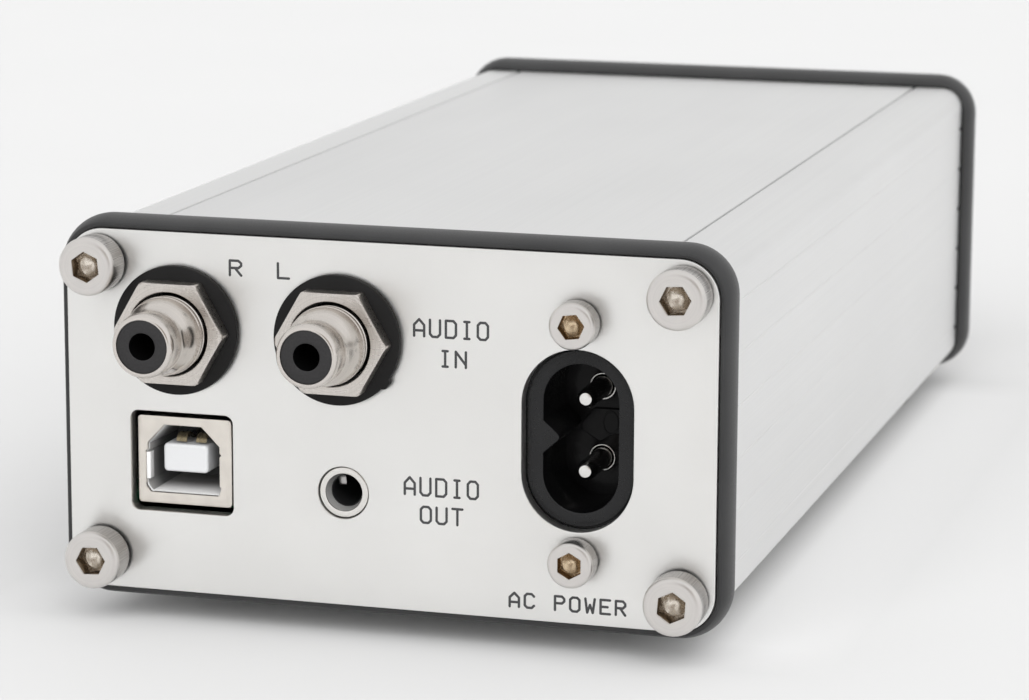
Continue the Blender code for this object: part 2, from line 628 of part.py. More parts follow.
knob_sections = [
    *rounds([(KNOB_R - 1.0, KNOB_FACE), (KNOB_R - 0.35, KNOB_FACE + 0.25),
             (KNOB_R, KNOB_FACE + 0.9)], KNURL_STEPS),
    (knurled(), KNOB_FACE + 1.6), (knurled(), -2.0),
    *rounds([(KNOB_R, -1.4), (KNOB_R - 0.3, -0.8)], KNURL_STEPS),
    *rounds([(7.0, -0.8), (7.0, -5.2), (3.15, -5.2), (3.15, -9.6)], 24),   # recess, shaft bore
]
knob_axis = pivot("volume_axis", case_at(*KNOB_AT, FRONT_Y))
knob = make("volume_knob", solid(knob_sections, base=FRONT_Y), ALU, case_at(*KNOB_AT))
ride(knob, knob_axis)

# index line let into the knob's face
mark_y = FRONT_Y + KNOB_FACE
mark = make("knob_mark_cutter", boxes((-0.45, 0.45, mark_y - 1.0, mark_y + 0.4, 4.6, 9.4)),
            BLACK, case_at(*KNOB_AT), smooth=None)
ride(mark, knob_axis)
cut(knob, mark)

SHAFT_PROFILE = [(0, -9.4), (2.6, -9.4), (2.95, -9.1), (2.95, 7.0), (0, 7.0)]
shaft = make("volume_shaft", spun(SHAFT_PROFILE, 20, base=FRONT_Y), STEEL, case_at(*KNOB_AT))
ride(shaft, knob_axis)

CONTROL_PROFILE = [                                       # shaft bore, bushing, housing
    (0, 7.4), (3.2, 7.4), (3.2, -4.6), (3.5, -4.6), (3.5, 2.3), (8.3, 2.3), (8.5, 2.6),
    (8.5, 12.0), (0, 12.0),
]
make("volume_control", spun(CONTROL_PROFILE, 24, base=FRONT_Y), TIN, case_at(*KNOB_AT))

# ---------------------------------------------------------------- power button and light
BUTTON_PROFILE = [                                        # domed cap, then a thin stem
    (0, -4.2), (3.2, -4.2), (3.75, -3.95), (4.0, -3.4), (4.0, 1.2), (1.6, 1.2), (1.6, 4.6),
    (0, 4.6),
]
button_axis = pivot("power_axis", case_at(*BUTTON_AT, FRONT_Y))
button = make("power_button", spun(BUTTON_PROFILE, 20, base=FRONT_Y), BLACK, case_at(*BUTTON_AT))
ride(button, button_axis)

switch_box = round_rect(5.0, 5.0, 0.4, 2)                  # switch with a bore for the stem
make("power_switch",
     solid(rounds([(1.9, 9.0), (1.9, 4.2)], 20) + [(switch_box, 4.2), (switch_box, 17.0)],
           base=FRONT_Y),
     BLACK, case_at(*BUTTON_AT))

LIGHT_PROFILE = [(0, -0.9), (0.8, -0.75), (1.35, -0.3), (1.5, 0.3), (1.5, 4.2), (1.9, 4.3),
                 (1.9, 5.3), (0, 5.3)]
make("power_light", spun(LIGHT_PROFILE, 18, base=FRONT_Y), LENS, case_at(*LED_AT))

# ---------------------------------------------------------------- source selector
LEVER_Y = FRONT_Y - 2.0                                   # centre of the lever's ball
BALL_R = 1.9


def lever_profile():
    """(radius, y from the ball's centre): tapered handle, ball, short tail."""
    handle = [(0, -9.6), (0.7, -9.45), (1.25, -9.0), (1.45, -8.2), (1.35, -6.0), (0.95, -2.6),
              (0.85, -1.6)]
    angles = [math.radians(150 - 130 * i / 6) for i in range(1, 7)]
    ball = [(BALL_R * math.sin(angle), BALL_R * math.cos(angle)) for angle in angles]
    return handle + ball + [(0.7, 2.6), (0.55, 3.4), (0, 3.5)]


lever_axis = pivot("selector_axis", case_at(*LEVER_AT, LEVER_Y))
lever = make("selector_lever", spun(lever_profile(), 16), NICKEL, case_at(*LEVER_AT, LEVER_Y))
lever.rotation_euler = (math.radians(-LEVER_TILT), 0.0, 0.0)   # rests flipped up
ride(lever, lever_axis)

# the lever's flared bore, the bushing outside it, and the housing
BUSHING_PROFILE = [(2.45, 7.0), (2.45, 2.0), (2.25, -0.4), (2.1, -3.2), (3.0, -3.2), (3.0, 4.3)]
housing = round_rect(3.4, 6.4, 0.3, 2)
make("selector_switch",
     solid(rounds(BUSHING_PROFILE, 20) + [(housing, 4.3), (housing, 13.5)]),
     TIN, case_at(*LEVER_AT, FRONT_Y))
make("selector_nut", prism(hexagon(8.0), FRONT_Y - 1.9, FRONT_Y - 0.2, [circle(3.25, 20)]),
     NICKEL, case_at(*LEVER_AT))

# ---------------------------------------------------------------- headphone socket
phones_box = round_rect(8.0, 8.0, 0.5, 2)
make("headphone_jack",
     solid(rounds([(3.3, 22.0), (3.3, -3.4), (4.5, -3.4), (4.5, 2.3)], 24)
           + [(phones_box, 2.3), (phones_box, 24.0)]),
     BLACK, case_at(*PHONES_AT, FRONT_Y))
PHONES_NUT_PROFILE = [(4.75, -2.6), (6.2, -2.6), (6.7, -2.1), (6.8, -0.2), (4.75, -0.2)]
make("headphone_nut", spun(PHONES_NUT_PROFILE, 20, closed=True),
     NICKEL, case_at(*PHONES_AT, FRONT_Y))
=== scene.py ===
"""Looks of a desktop audio converter: fine meshes, materials, light and camera round its CAD frame.

Objects are in metres, the mesh helpers in millimetres. +Z is up. The rear panel with the connectors
faces +Y, the front panel with the controls faces -Y. Pieces of both ends are built facing +Y from
the outer face of their panel, where +X runs to the reader's left; front ones are then turned round.
"""
import json
import math
from itertools import cycle

import bmesh
import bpy
from mathutils import Matrix, Vector


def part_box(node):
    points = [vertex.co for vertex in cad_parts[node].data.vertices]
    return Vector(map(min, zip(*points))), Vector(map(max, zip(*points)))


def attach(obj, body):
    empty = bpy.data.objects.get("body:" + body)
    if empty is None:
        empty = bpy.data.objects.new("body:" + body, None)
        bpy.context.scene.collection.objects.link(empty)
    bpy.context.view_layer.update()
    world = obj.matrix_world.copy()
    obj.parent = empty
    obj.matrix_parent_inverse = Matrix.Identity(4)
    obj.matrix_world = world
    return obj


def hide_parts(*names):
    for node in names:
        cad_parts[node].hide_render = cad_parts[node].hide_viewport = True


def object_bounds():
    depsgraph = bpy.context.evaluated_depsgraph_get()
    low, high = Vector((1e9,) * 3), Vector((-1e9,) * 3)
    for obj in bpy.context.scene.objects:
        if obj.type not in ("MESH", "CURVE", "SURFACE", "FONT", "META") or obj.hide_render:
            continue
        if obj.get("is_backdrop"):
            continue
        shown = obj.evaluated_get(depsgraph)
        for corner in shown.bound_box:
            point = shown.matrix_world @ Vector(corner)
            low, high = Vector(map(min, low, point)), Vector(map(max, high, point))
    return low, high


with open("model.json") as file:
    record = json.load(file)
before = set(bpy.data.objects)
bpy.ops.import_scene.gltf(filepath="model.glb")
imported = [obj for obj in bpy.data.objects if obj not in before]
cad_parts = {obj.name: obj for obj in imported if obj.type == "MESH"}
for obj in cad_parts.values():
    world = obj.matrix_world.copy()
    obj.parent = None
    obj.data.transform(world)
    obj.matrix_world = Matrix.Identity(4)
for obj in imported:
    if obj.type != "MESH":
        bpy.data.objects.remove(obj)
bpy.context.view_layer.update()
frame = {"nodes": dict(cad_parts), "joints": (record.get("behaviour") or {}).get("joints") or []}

MM = 0.001
PI = math.pi
FRONT = (0.0, 0.0, PI)                       # turn of the pieces on the front panel


def span(node):
    """(lowest, highest) corner of a CAD node in millimetres."""
    low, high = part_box(node)
    return low / MM, high / MM


def mid(node):
    low, high = span(node)
    return (low + high) / 2


# ================================================================== shader nodes
def feed(node, inputs):
    """Links or sets each named input of a node."""
    for name, value in inputs.items():
        socket = node.inputs[name]
        if isinstance(value, bpy.types.NodeSocket):
            node.id_data.links.new(value, socket)
        else:
            socket.default_value = value


def add_node(tree, kind, inputs, **props):
    node = tree.nodes.new(kind)
    for name, value in props.items():
        setattr(node, name, value)
    feed(node, inputs)
    return node


class Surface:
    """A Principled material with short helpers for its node tree; sizes are in millimetres."""

    def __init__(self, name, rgb, rough, metal=0.0, shine=0.5):
        self.material = bpy.data.materials.new(name)
        self.material.use_nodes = True
        self.material.diffuse_color = (*rgb, 1.0)
        self.tree = self.material.node_tree
        self.shader = self.tree.nodes["Principled BSDF"]
        feed(self.shader, {"Base Color": (*rgb, 1.0), "Roughness": rough, "Metallic": metal,
                           "Specular IOR Level": shine})
        self.place = self.node("ShaderNodeTexCoord", {}).outputs["Object"]
        self.normal = None

    def node(self, kind, inputs, **props):
        return add_node(self.tree, kind, inputs, **props)

    def calc(self, operation, a, b=0.0):
        return self.node("ShaderNodeMath", {0: a, 1: b}, operation=operation).outputs[0]

    def blend(self, a, b, share=0.5):
        """Weighted sum; share is the weight of a."""
        return self.calc("ADD", self.calc("MULTIPLY", a, share),
                         self.calc("MULTIPLY", b, 1 - share))

    def noise(self, size, stretch=(1, 1, 1), detail=2.0, rough=0.5):
        """Noise with features of about one size; stretch lengthens them per axis."""
        scale = 1.0 / (size * MM)
        mapping = self.node("ShaderNodeMapping", {
            "Vector": self.place, "Scale": tuple(scale / s for s in stretch)})
        return self.node("ShaderNodeTexNoise", {
            "Scale": 1.0, "Detail": detail, "Roughness": rough,
            "Vector": mapping.outputs["Vector"]}).outputs["Fac"]

    def line_noise(self, value, size):
        """One-dimensional noise along a value in metres."""
        return self.node("ShaderNodeTexNoise", {"Scale": 1.0 / (size * MM), "Detail": 3.0, "W": value},
                         noise_dimensions="1D").outputs["Fac"]

    def axes(self):
        return self.node("ShaderNodeSeparateXYZ", {0: self.place}).outputs

    def radius(self):
        """Distance from the object's own Y axis, and the place along it, in metres."""
        axes = self.axes()
        xx = self.calc("MULTIPLY", axes["X"], axes["X"])
        zz = self.calc("MULTIPLY", axes["Z"], axes["Z"])
        return self.calc("SQRT", self.calc("ADD", xx, zz)), axes["Y"]

    def tool_marks(self, size):
        """Turning marks round the object's own Y axis, on faces and sides alike."""
        radius, y = self.radius()
        return self.line_noise(self.calc("ADD", radius, self.calc("MULTIPLY", y, 0.83)), size)

    def spread(self, value, low, high, start=0.3, end=0.7):
        """Maps start..end onto low..high."""
        return self.node("ShaderNodeMapRange", {
            "From Min": start, "From Max": end, "To Min": low, "To Max": high,
            "Value": value}).outputs["Result"]

    def roughness(self, value, low, high):
        feed(self.shader, {"Roughness": self.spread(value, low, high)})
        return self

    def colour(self, value, low, high, start=0.3, end=0.7):
        ramp = self.node("ShaderNodeValToRGB", {"Fac": value})
        for stop, position, rgb in zip(ramp.color_ramp.elements, (start, end), (low, high)):
            stop.position = position
            stop.color = (*rgb, 1)
        feed(self.shader, {"Base Color": ramp.outputs["Color"]})
        return self

    def bump(self, height, depth):
        """Adds a bump on top of the earlier ones."""
        inputs = {"Distance": depth * MM, "Strength": 1.0, "Height": height}
        if self.normal is not None:
            inputs["Normal"] = self.normal
        self.normal = self.node("ShaderNodeBump", inputs).outputs["Normal"]
        feed(self.shader, {"Normal": self.normal})
        return self


# ================================================================== materials
def make_case():
    mat = Surface("case_aluminium", (0.80, 0.80, 0.795), rough=0.40, metal=1.0)
    streak = mat.noise(size=0.30, stretch=(1, 260, 1), detail=3)
    grain = mat.noise(size=0.11, rough=0.6)
    cloud = mat.noise(size=22.0, stretch=(1, 2.5, 1))
    mat.colour(mat.blend(streak, cloud), low=(0.775, 0.775, 0.772), high=(0.835, 0.835, 0.83))
    mat.roughness(mat.blend(grain, streak, share=0.6), low=0.36, high=0.46)
    return mat.bump(streak, depth=0.0022).bump(grain, depth=0.0018)


def make_panel():
    mat = Surface("panel_aluminium", (0.84, 0.835, 0.81), rough=0.36, metal=1.0)
    grain = mat.noise(size=0.09, rough=0.65)
    rolled = mat.noise(size=0.16, stretch=(18, 1, 1))
    cloud = mat.noise(size=14.0)
    mat.colour(mat.blend(grain, cloud, share=0.55),
               low=(0.815, 0.81, 0.792), high=(0.89, 0.885, 0.867))
    mat.roughness(grain, low=0.33, high=0.42)
    return mat.bump(rolled, depth=0.0012).bump(grain, depth=0.0016)


def make_bezel():
    mat = Surface("bezel_plastic", (0.011, 0.011, 0.0113), rough=0.42, shine=0.42)
    fine = mat.noise(size=0.16, detail=3, rough=0.6)
    broad = mat.noise(size=7.0)
    mat.colour(broad, low=(0.0095, 0.0095, 0.0098), high=(0.013, 0.013, 0.0133))
    mat.roughness(fine, low=0.36, high=0.48)
    return mat.bump(fine, depth=0.006)


def make_turned(name, rgb, rough, lines, depth, warm=None, wear=0.04):
    """Metal with tool marks; lines is their size, warm a second tint, wear varies the roughness."""
    mat = Surface(name, rgb, rough, metal=1.0)
    marks = mat.tool_marks(lines)
    cloud = mat.noise(size=1.6, detail=3)
    mat.colour(mat.blend(marks, cloud), low=tuple(c * 0.975 for c in rgb),
               high=tuple(min(1.0, c * 1.02) for c in (warm or rgb)))
    mat.roughness(cloud, rough - wear, rough + wear)
    return mat.bump(marks, depth)


def make_socket(name, dark, light):
    """Punched floor of a hexagon socket, lighter than its walls as painted light: smeared facets, oily
    patches.
    """
    mat = Surface(name, light, rough=0.26, metal=1.0)
    broad = mat.noise(size=1.3, stretch=(1, 1, 1.6), rough=0.6)
    fine = mat.noise(size=0.22, detail=3, rough=0.6)
    mat.colour(mat.blend(broad, fine, share=0.8), dark, light, start=0.36, end=0.54)
    mat.roughness(fine, low=0.20, high=0.34)
    return mat.bump(broad, depth=0.10).bump(fine, depth=0.008)


def make_nut():
    """Plated nut with fine turning marks and a few scratches."""
    mat = Surface("nut_nickel", (0.66, 0.62, 0.585), rough=0.30, metal=1.0)
    marks = mat.tool_marks(0.16)
    scratch = mat.noise(size=0.10, stretch=(1, 1, 16), detail=3, rough=0.6)
    across = mat.noise(size=0.12, stretch=(14, 1, 2), detail=3, rough=0.6)
    mat.colour(mat.blend(marks, scratch), low=(0.58, 0.545, 0.51), high=(0.70, 0.66, 0.62),
               start=0.34, end=0.66)
    mat.roughness(across, low=0.24, high=0.36)
    return mat.bump(marks, depth=0.0014).bump(scratch, depth=0.0009)


def make_plastic(name, rgb, rough, grain=0.2, depth=0.003, spread=0.05, shine=0.5):
    """Grained plastic; spread varies the roughness."""
    mat = Surface(name, rgb, rough, shine=shine)
    fine = mat.noise(grain, detail=3, rough=0.6)
    cloud = mat.noise(grain * 18)
    mat.colour(cloud, tuple(c * 0.88 for c in rgb), tuple(min(1, c * 1.12) for c in rgb))
    mat.roughness(fine, rough - spread, rough + spread)
    return mat.bump(fine, depth)


def make_painted_depth_shade(name, near, far, y_near, y_far, rough, shine):
    """Moulding with painted shade: its colour darkens from near to far, between two depths behind the
    panel's outer face.
    """
    mat = Surface(name, near, rough, shine=shine)
    axes = mat.axes()
    fine = mat.noise(size=0.25, detail=3, rough=0.6)
    deep = mat.spread(axes["Y"], 0.0, 1.0, start=-y_near * MM, end=-y_far * MM)
    speckle = mat.calc("MULTIPLY", mat.calc("SUBTRACT", fine, 0.5), 0.05)
    mat.colour(mat.calc("ADD", deep, speckle), near, far, start=0.0, end=1.0)
    mat.roughness(fine, rough - 0.04, rough + 0.04)
    return mat.bump(fine, depth=0.002)


def make_board():
    mat = Surface("circuit_board", (0.02, 0.16, 0.07), rough=0.35)
    edge = mat.node("ShaderNodeTexVoronoi", {"Scale": 260.0, "Vector": mat.place},
                    feature="DISTANCE_TO_EDGE").outputs["Distance"]
    mat.colour(edge, low=(0.03, 0.21, 0.10), high=(0.012, 0.11, 0.05), start=0.04, end=0.09)
    return mat.bump(edge, depth=0.03)


def make_core():
    mat = Surface("lamination_iron", (0.14, 0.14, 0.15), rough=0.5, metal=1.0)
    bands = mat.node("ShaderNodeTexWave", {"Scale": 320.0, "Distortion": 0.4, "Vector": mat.place},
                     wave_type="BANDS", bands_direction="Y").outputs["Fac"]
    mat.colour(bands, low=(0.05, 0.05, 0.055), high=(0.22, 0.21, 0.20), start=0.1, end=0.9)
    return mat.bump(bands, depth=0.08)


def make_insulator():
    mat = Surface("socket_insulator", (0.012, 0.0115, 0.012), rough=0.36, shine=0.26)
    marks = mat.line_noise(mat.radius()[0], size=0.16)
    grain = mat.noise(size=0.25, detail=3)
    mat.colour(grain, low=(0.009, 0.0087, 0.009), high=(0.015, 0.0145, 0.015))
    mat.roughness(grain, low=0.30, high=0.44)
    return mat.bump(marks, depth=0.004)


def make_tin():
    mat = Surface("tinned_steel", (0.77, 0.725, 0.665), rough=0.27, metal=1.0)
    brushed = mat.noise(size=0.22, stretch=(10, 10, 1))
    cloud = mat.noise(size=2.4)
    mat.colour(cloud, low=(0.73, 0.685, 0.63), high=(0.82, 0.775, 0.71))
    return mat.roughness(brushed, low=0.28, high=0.30)


def make_gold():
    # gold darkened far below its own colour: painted shade deep in the socket
    mat = Surface("gold_contact", (0.26, 0.215, 0.135), rough=0.42, metal=1.0)
    cloud = mat.noise(size=0.6, stretch=(1, 4, 1), detail=3)
    mat.colour(cloud, low=(0.20, 0.17, 0.11), high=(0.34, 0.28, 0.18))
    return mat.roughness(cloud, low=0.22, high=0.36)


def make_lens():
    mat = Surface("light_lens", (0.30, 0.55, 0.90), rough=0.10)
    feed(mat.shader, {"Transmission Weight": 0.6, "IOR": 1.49})
    return mat.colour(mat.noise(size=0.8), low=(0.22, 0.48, 0.86), high=(0.36, 0.62, 0.95))


def make_inside():
    # darker copy of the tinned steel for the shell's inside: painted shade
    mat = Surface("shell_inside_painted_shade", (0.36, 0.355, 0.345), rough=0.34, metal=1.0)
    streak = mat.noise(size=0.12, stretch=(1, 12, 1))
    mat.colour(streak, low=(0.33, 0.325, 0.315), high=(0.40, 0.395, 0.385))
    mat.roughness(streak, low=0.28, high=0.40)
    return mat.bump(streak, depth=0.0015)


def make_screw_side():
    """Head side, finely ribbed along the screw."""
    mat = Surface("screw_side", (0.50, 0.48, 0.465), rough=0.32, metal=1.0)
    axes = mat.axes()
    around = mat.calc("ARCTAN2", axes["Z"], axes["X"])
    ribs = mat.line_noise(mat.calc("MULTIPLY", around, 3.5 * MM), size=0.11)
    mat.colour(ribs, low=(0.36, 0.345, 0.335), high=(0.60, 0.58, 0.56), start=0.35, end=0.65)
    mat.roughness(ribs, low=0.26, high=0.38)
    return mat.bump(ribs, depth=0.004)


CASE = make_case()
PANEL = make_panel()
BEZEL = make_bezel()
SCREW = make_turned("screw_stainless", (0.68, 0.655, 0.635), rough=0.34, lines=0.22, depth=0.0008,
                    warm=(0.70, 0.675, 0.65), wear=0.02)
# socket floors are painted light and socket walls painted shade: lit and shaded copies of the screw
# metal
SOCKET_FLOOR_PAINTED_LIGHT = make_socket("screw_socket_floor_painted_light", dark=(0.46, 0.40, 0.33), light=(0.90, 0.83, 0.74))
SOCKET_WALL_PAINTED_SHADE = make_turned("screw_socket_wall_painted_shade", (0.24, 0.195, 0.145), rough=0.24, lines=0.30,
                          depth=0.004, warm=(0.28, 0.23, 0.175))
BRASSY_FLOOR_PAINTED_LIGHT = make_socket("inlet_screw_floor_painted_light", dark=(0.42, 0.32, 0.21), light=(0.84, 0.67, 0.47))
BRASSY_WALL_PAINTED_SHADE = make_turned("inlet_screw_wall_painted_shade", (0.20, 0.145, 0.09), rough=0.24, lines=0.30,
                          depth=0.004, warm=(0.24, 0.175, 0.11))
NICKEL = make_turned("nickel_plate", (0.665, 0.625, 0.59), rough=0.21, lines=0.14, depth=0.0012,
                     warm=(0.685, 0.645, 0.605), wear=0.012)
NUT = make_nut()
# near-black for the crevice under screw heads and the nut bores: painted shadow
SHADOW_PAINT = make_plastic("thread_shadow", (0.010, 0.0095, 0.009), rough=0.5, grain=0.3, shine=0.2)
# dark copy of the contact metal for deep in the bore: painted shade
CONTACT_PAINTED_SHADE = make_turned("deep_contact_painted_shade", (0.10, 0.09, 0.075), rough=0.35, lines=0.30, depth=0.003)
PIN = make_turned("pin_nickel", (0.80, 0.79, 0.77), rough=0.22, lines=0.10, depth=0.0020)
KNOB = make_turned("knob_aluminium", (0.79, 0.79, 0.785), rough=0.32, lines=0.35, depth=0.0006,
                   warm=(0.82, 0.82, 0.815), wear=0.015)
CONE = make_plastic("satin_cone", (0.12, 0.119, 0.116), rough=0.4, grain=0.3)
LEAF = make_turned("spring_leaf", (0.50, 0.49, 0.48), rough=0.34, lines=0.2, depth=0.002)
RING = make_turned("ring_nickel", (0.79, 0.77, 0.74), rough=0.22, lines=0.09, depth=0.0014)
# near-black copy of the moulding plastic for cavities and bores: painted shade
CAVITY_PAINTED_SHADE = make_plastic("inlet_cavity_painted_shade", (0.0015, 0.0015, 0.0016), rough=0.18, grain=0.5,
                      spread=0.03, shine=0.13)
INLET = make_plastic("inlet_plastic", (0.0058, 0.0058, 0.0061), rough=0.25, grain=0.4,
                     depth=0.006, shine=0.24)
BLACK = make_plastic("black_plastic", (0.008, 0.008, 0.0083), rough=0.32, shine=0.35)
WASHER = make_plastic("fibre_washer", (0.0044, 0.0042, 0.0042), rough=0.42, grain=0.25,
                      depth=0.006, spread=0.08, shine=0.16)
RUBBER = make_plastic("foot_rubber", (0.018, 0.018, 0.018), rough=0.78, grain=0.35,
                      depth=0.012, spread=0.06)
EPOXY = make_plastic("chip_epoxy", (0.02, 0.02, 0.022), rough=0.5, grain=0.12, depth=0.004)
SLEEVE = make_plastic("capacitor_sleeve", (0.02, 0.04, 0.12), rough=0.35, grain=2.0, depth=0.02)
TAPE = make_plastic("winding_tape", (0.75, 0.58, 0.08), rough=0.45, grain=1.2, depth=0.03)
# tongue nylon and socket lining darken with depth: painted shade inside the socket
WHITE_NYLON_PAINTED_SHADE = make_painted_depth_shade("white_nylon_painted_shade", near=(0.405, 0.409, 0.416), far=(0.15, 0.15, 0.15),
                   y_near=0.6, y_far=6.0, rough=0.34, shine=0.3)
LINING_PAINTED_SHADE = make_painted_depth_shade("usb_lining_painted_shade", near=(0.49, 0.488, 0.486), far=(0.10, 0.098, 0.096),
                    y_near=0.1, y_far=6.5, rough=0.42, shine=0.3)
# darker copy of the lining for the wall on the reader's left: painted shade
LINING_SIDE_PAINTED_SHADE = make_painted_depth_shade("usb_lining_side_painted_shade", near=(0.22, 0.216, 0.21), far=(0.05, 0.05, 0.05),
                         y_near=0.3, y_far=5.0, rough=0.42, shine=0.2)
# near-black for the back of the socket and of its insert: painted shade
BACK_PAINTED_SHADE = make_plastic("usb_back_painted_shade", (0.03, 0.03, 0.03), rough=0.5, grain=0.3, shine=0.2)
INK = make_plastic("panel_ink", (0.020, 0.020, 0.021), rough=0.55, grain=0.06, depth=0.004,
                   spread=0.10)
BOARD = make_board()
CORE = make_core()
INSULATOR = make_insulator()
INSIDE_TIN_PAINTED_SHADE = make_inside()
TIN = make_tin()
GOLD_PAINTED_SHADE = make_gold()
LENS = make_lens()
SCREW_SIDE = make_screw_side()


# ================================================================== outlines, as (x, z) points
def arc(cx, cz, radius, start, sweep, steps):
    angles = [start + sweep * i / steps for i in range(steps + 1)]
    return [(cx + radius * math.cos(a), cz + radius * math.sin(a)) for a in angles]


def circle(radius, count=64, cx=0.0, cz=0.0):
    return arc(cx, cz, radius, 0.0, 2 * PI, count)[:-1]


def rounded(half_x, half_z, radius, steps=14, cx=0.0, cz=0.0):
    """Rounded rectangle, always 4(steps + 1) points."""
    radius = max(radius, 0.02)
    points = []
    for sx, sz, start in ((1, -1, -PI / 2), (1, 1, 0.0), (-1, 1, PI / 2), (-1, -1, PI)):
        points += arc(cx + sx * (half_x - radius), cz + sz * (half_z - radius), radius,
                      start, PI / 2, steps)
    return points


def stadium(half_x, half_z, cx=0.0, cz=0.0):
    """Upright slot with round ends."""
    straight = half_z - half_x
    return (arc(cx, cz + straight, half_x, 0.0, PI, 28)
            + arc(cx, cz - straight, -half_x, 0.0, PI, 28))


def hexagon(flats, count, cut=None):
    """Hexagon across flats; corners lie on radius cut as arcs of their own points."""
    step = PI / 3
    middle = half = step / 2
    if cut and cut * math.cos(half) < flats / 2:
        half = math.acos(min(1.0, flats / 2 / cut))
    edge = max(middle - half, 0.004)                             # half angle of a corner arc
    at_corner = count // 6 // 2
    on_flat = count // 6 - at_corner
    side = []
    for i in range(at_corner):
        a = -edge + 2 * edge * i / (at_corner - 1)
        side.append((a, min(cut or 1e9, flats / 2 / math.cos(middle - abs(a)))))
    for i in range(on_flat):
        a = edge + (step - 2 * edge) * (i + 1) / (on_flat + 1)
        side.append((a, flats / 2 / math.cos(a - middle)))
    return [(r * math.cos(a + k * step), r * math.sin(a + k * step))
            for k in range(6) for a, r in side]


def soften(points, length, steps=3, closed=False):
    """Rounds the corners of a polyline; length is taken from each side."""
    out = []
    for i, point in enumerate(points):
        if not closed and i in (0, len(points) - 1):
            out.append(point)
            continue
        corner = Vector(point)
        before = Vector(points[i - 1]) - corner
        after = Vector(points[(i + 1) % len(points)]) - corner
        if (before.length < 1e-6 or after.length < 1e-6
                or before.angle(after) > math.radians(172)):
            out.append(point)
            continue
        start = corner + before * min(length / before.length, 0.45)
        end = corner + after * min(length / after.length, 0.45)
        for k in range(steps + 1):
            u = k / steps
            out.append(tuple(start * (1 - u) ** 2 + corner * 2 * u * (1 - u) + end * u ** 2))
    return out


def thread(start, end, pitch, crest, root, drops):
    """(radius, y) points of a thread running inwards; drops place each turn's last three points."""
    points = []
    y = start
    while y > end:
        points += [(r, y - drop) for r, drop in zip((crest, root, root, crest), (0.0, *drops))]
        y -= pitch
    return points


# ================================================================== mesh tools
def loop(mesh, points, y):
    verts = [mesh.verts.new((x, y, z)) for x, z in points]
    for i, vert in enumerate(verts):
        mesh.edges.new((vert, verts[(i + 1) % len(verts)]))
    return verts


def bridge(mesh, a, b, tag=0):
    for i in range(len(a)):
        j = (i + 1) % len(a)
        mesh.faces.new((a[i], a[j], b[j], b[i])).material_index = tag


def fan(mesh, ring, y, tag=0):
    centre = sum((vert.co for vert in ring), Vector((0, 0, 0))) / len(ring)
    tip = mesh.verts.new((centre.x, y, centre.z))
    for i, vert in enumerate(ring):
        mesh.faces.new((vert, ring[(i + 1) % len(ring)], tip)).material_index = tag


def fill(mesh, outer, holes=()):
    """Triangulates the flat area between an outline and its holes."""
    edges = []
    for verts in (outer, *holes):
        for i, vert in enumerate(verts):
            following = verts[(i + 1) % len(verts)]
            edges.append(next(e for e in vert.link_edges if following in e.verts))
    bmesh.ops.triangle_fill(mesh, use_beauty=True, use_dissolve=False, edges=edges,
                            normal=(0, 1, 0))


def tube(mesh, stack, tags=None):
    """Open skin through [(points, y), ...] with equal counts; tags are its material slots."""
    loops = [loop(mesh, points, y) for points, y in stack]
    for tag, a, b in zip(tags or [0] * len(stack), loops, loops[1:]):
        bridge(mesh, a, b, tag)
    return loops


def skin(mesh, stack, closed=False, last_cap=True, tags=None):
    """Tube that closes on itself or is capped by fans."""
    tags = tags or [0] * len(stack)
    loops = tube(mesh, stack, tags)
    if closed:
        bridge(mesh, loops[-1], loops[0])
        return loops
    fan(mesh, loops[0], stack[0][1], tags[0])
    if last_cap:
        fan(mesh, loops[-1], stack[-1][1], tags[-1])
    return loops


def rings(profile, count):
    """Stack of circles from (radius, y) points."""
    return [(circle(radius, count), y) for radius, y in profile]


def shafts(mesh, centres, radius, count, y0, y1):
    """Round walls through a plate; returns the loops at y0 and at y1."""
    ends = [[loop(mesh, circle(radius, count, x, z), y) for x, z in centres] for y in (y0, y1)]
    for a, b in zip(*ends):
        bridge(mesh, a, b)
    return ends


def join(mesh, a, b, count):
    """Faces between two rings; a ring of one vertex is a pole."""
    if len(a) == 1 and len(b) == 1:
        return
    for i in range(count):
        j = (i + 1) % count
        if len(a) == 1:
            mesh.faces.new((a[0], b[i], b[j]))
        elif len(b) == 1:
            mesh.faces.new((a[i], a[j], b[0]))
        else:
            mesh.faces.new((a[i], a[j], b[j], b[i]))


def turned(profile, count=64, closed=False, mesh=None):
    """Solid of revolution about Y from (radius, y) points."""
    mesh = mesh or bmesh.new()
    previous = first = None
    for radius, y in profile:
        points = [(0.0, 0.0)] if radius < 1e-6 else circle(radius, count)
        ring = [mesh.verts.new((x, y, z)) for x, z in points]
        if previous is not None:
            join(mesh, previous, ring, count)
        first = first or ring
        previous = ring
    if closed:
        join(mesh, previous, first, count)
    return mesh


def sweep(mesh, sections):
    """Capped bar through sections of (x, y, z) points."""
    loops = [[mesh.verts.new(point) for point in section] for section in sections]
    mesh.faces.new(loops[0])
    for a, b in zip(loops, loops[1:]):
        bridge(mesh, a, b)
    mesh.faces.new(loops[-1][::-1])


def block(mesh, xs, ys, zs, radius, steps=2):
    """Box between (low, high) pairs, with rounded edges."""
    verts = bmesh.ops.create_cube(mesh, size=1.0)["verts"]
    bmesh.ops.scale(mesh, vec=[high - low for low, high in (xs, ys, zs)], verts=verts)
    bmesh.ops.translate(mesh, vec=[(low + high) / 2 for low, high in (xs, ys, zs)], verts=verts)
    edges = list({e for v in verts for e in v.link_edges})
    bmesh.ops.bevel(mesh, geom=edges, offset=radius, segments=steps, affect="EDGES", profile=0.5)


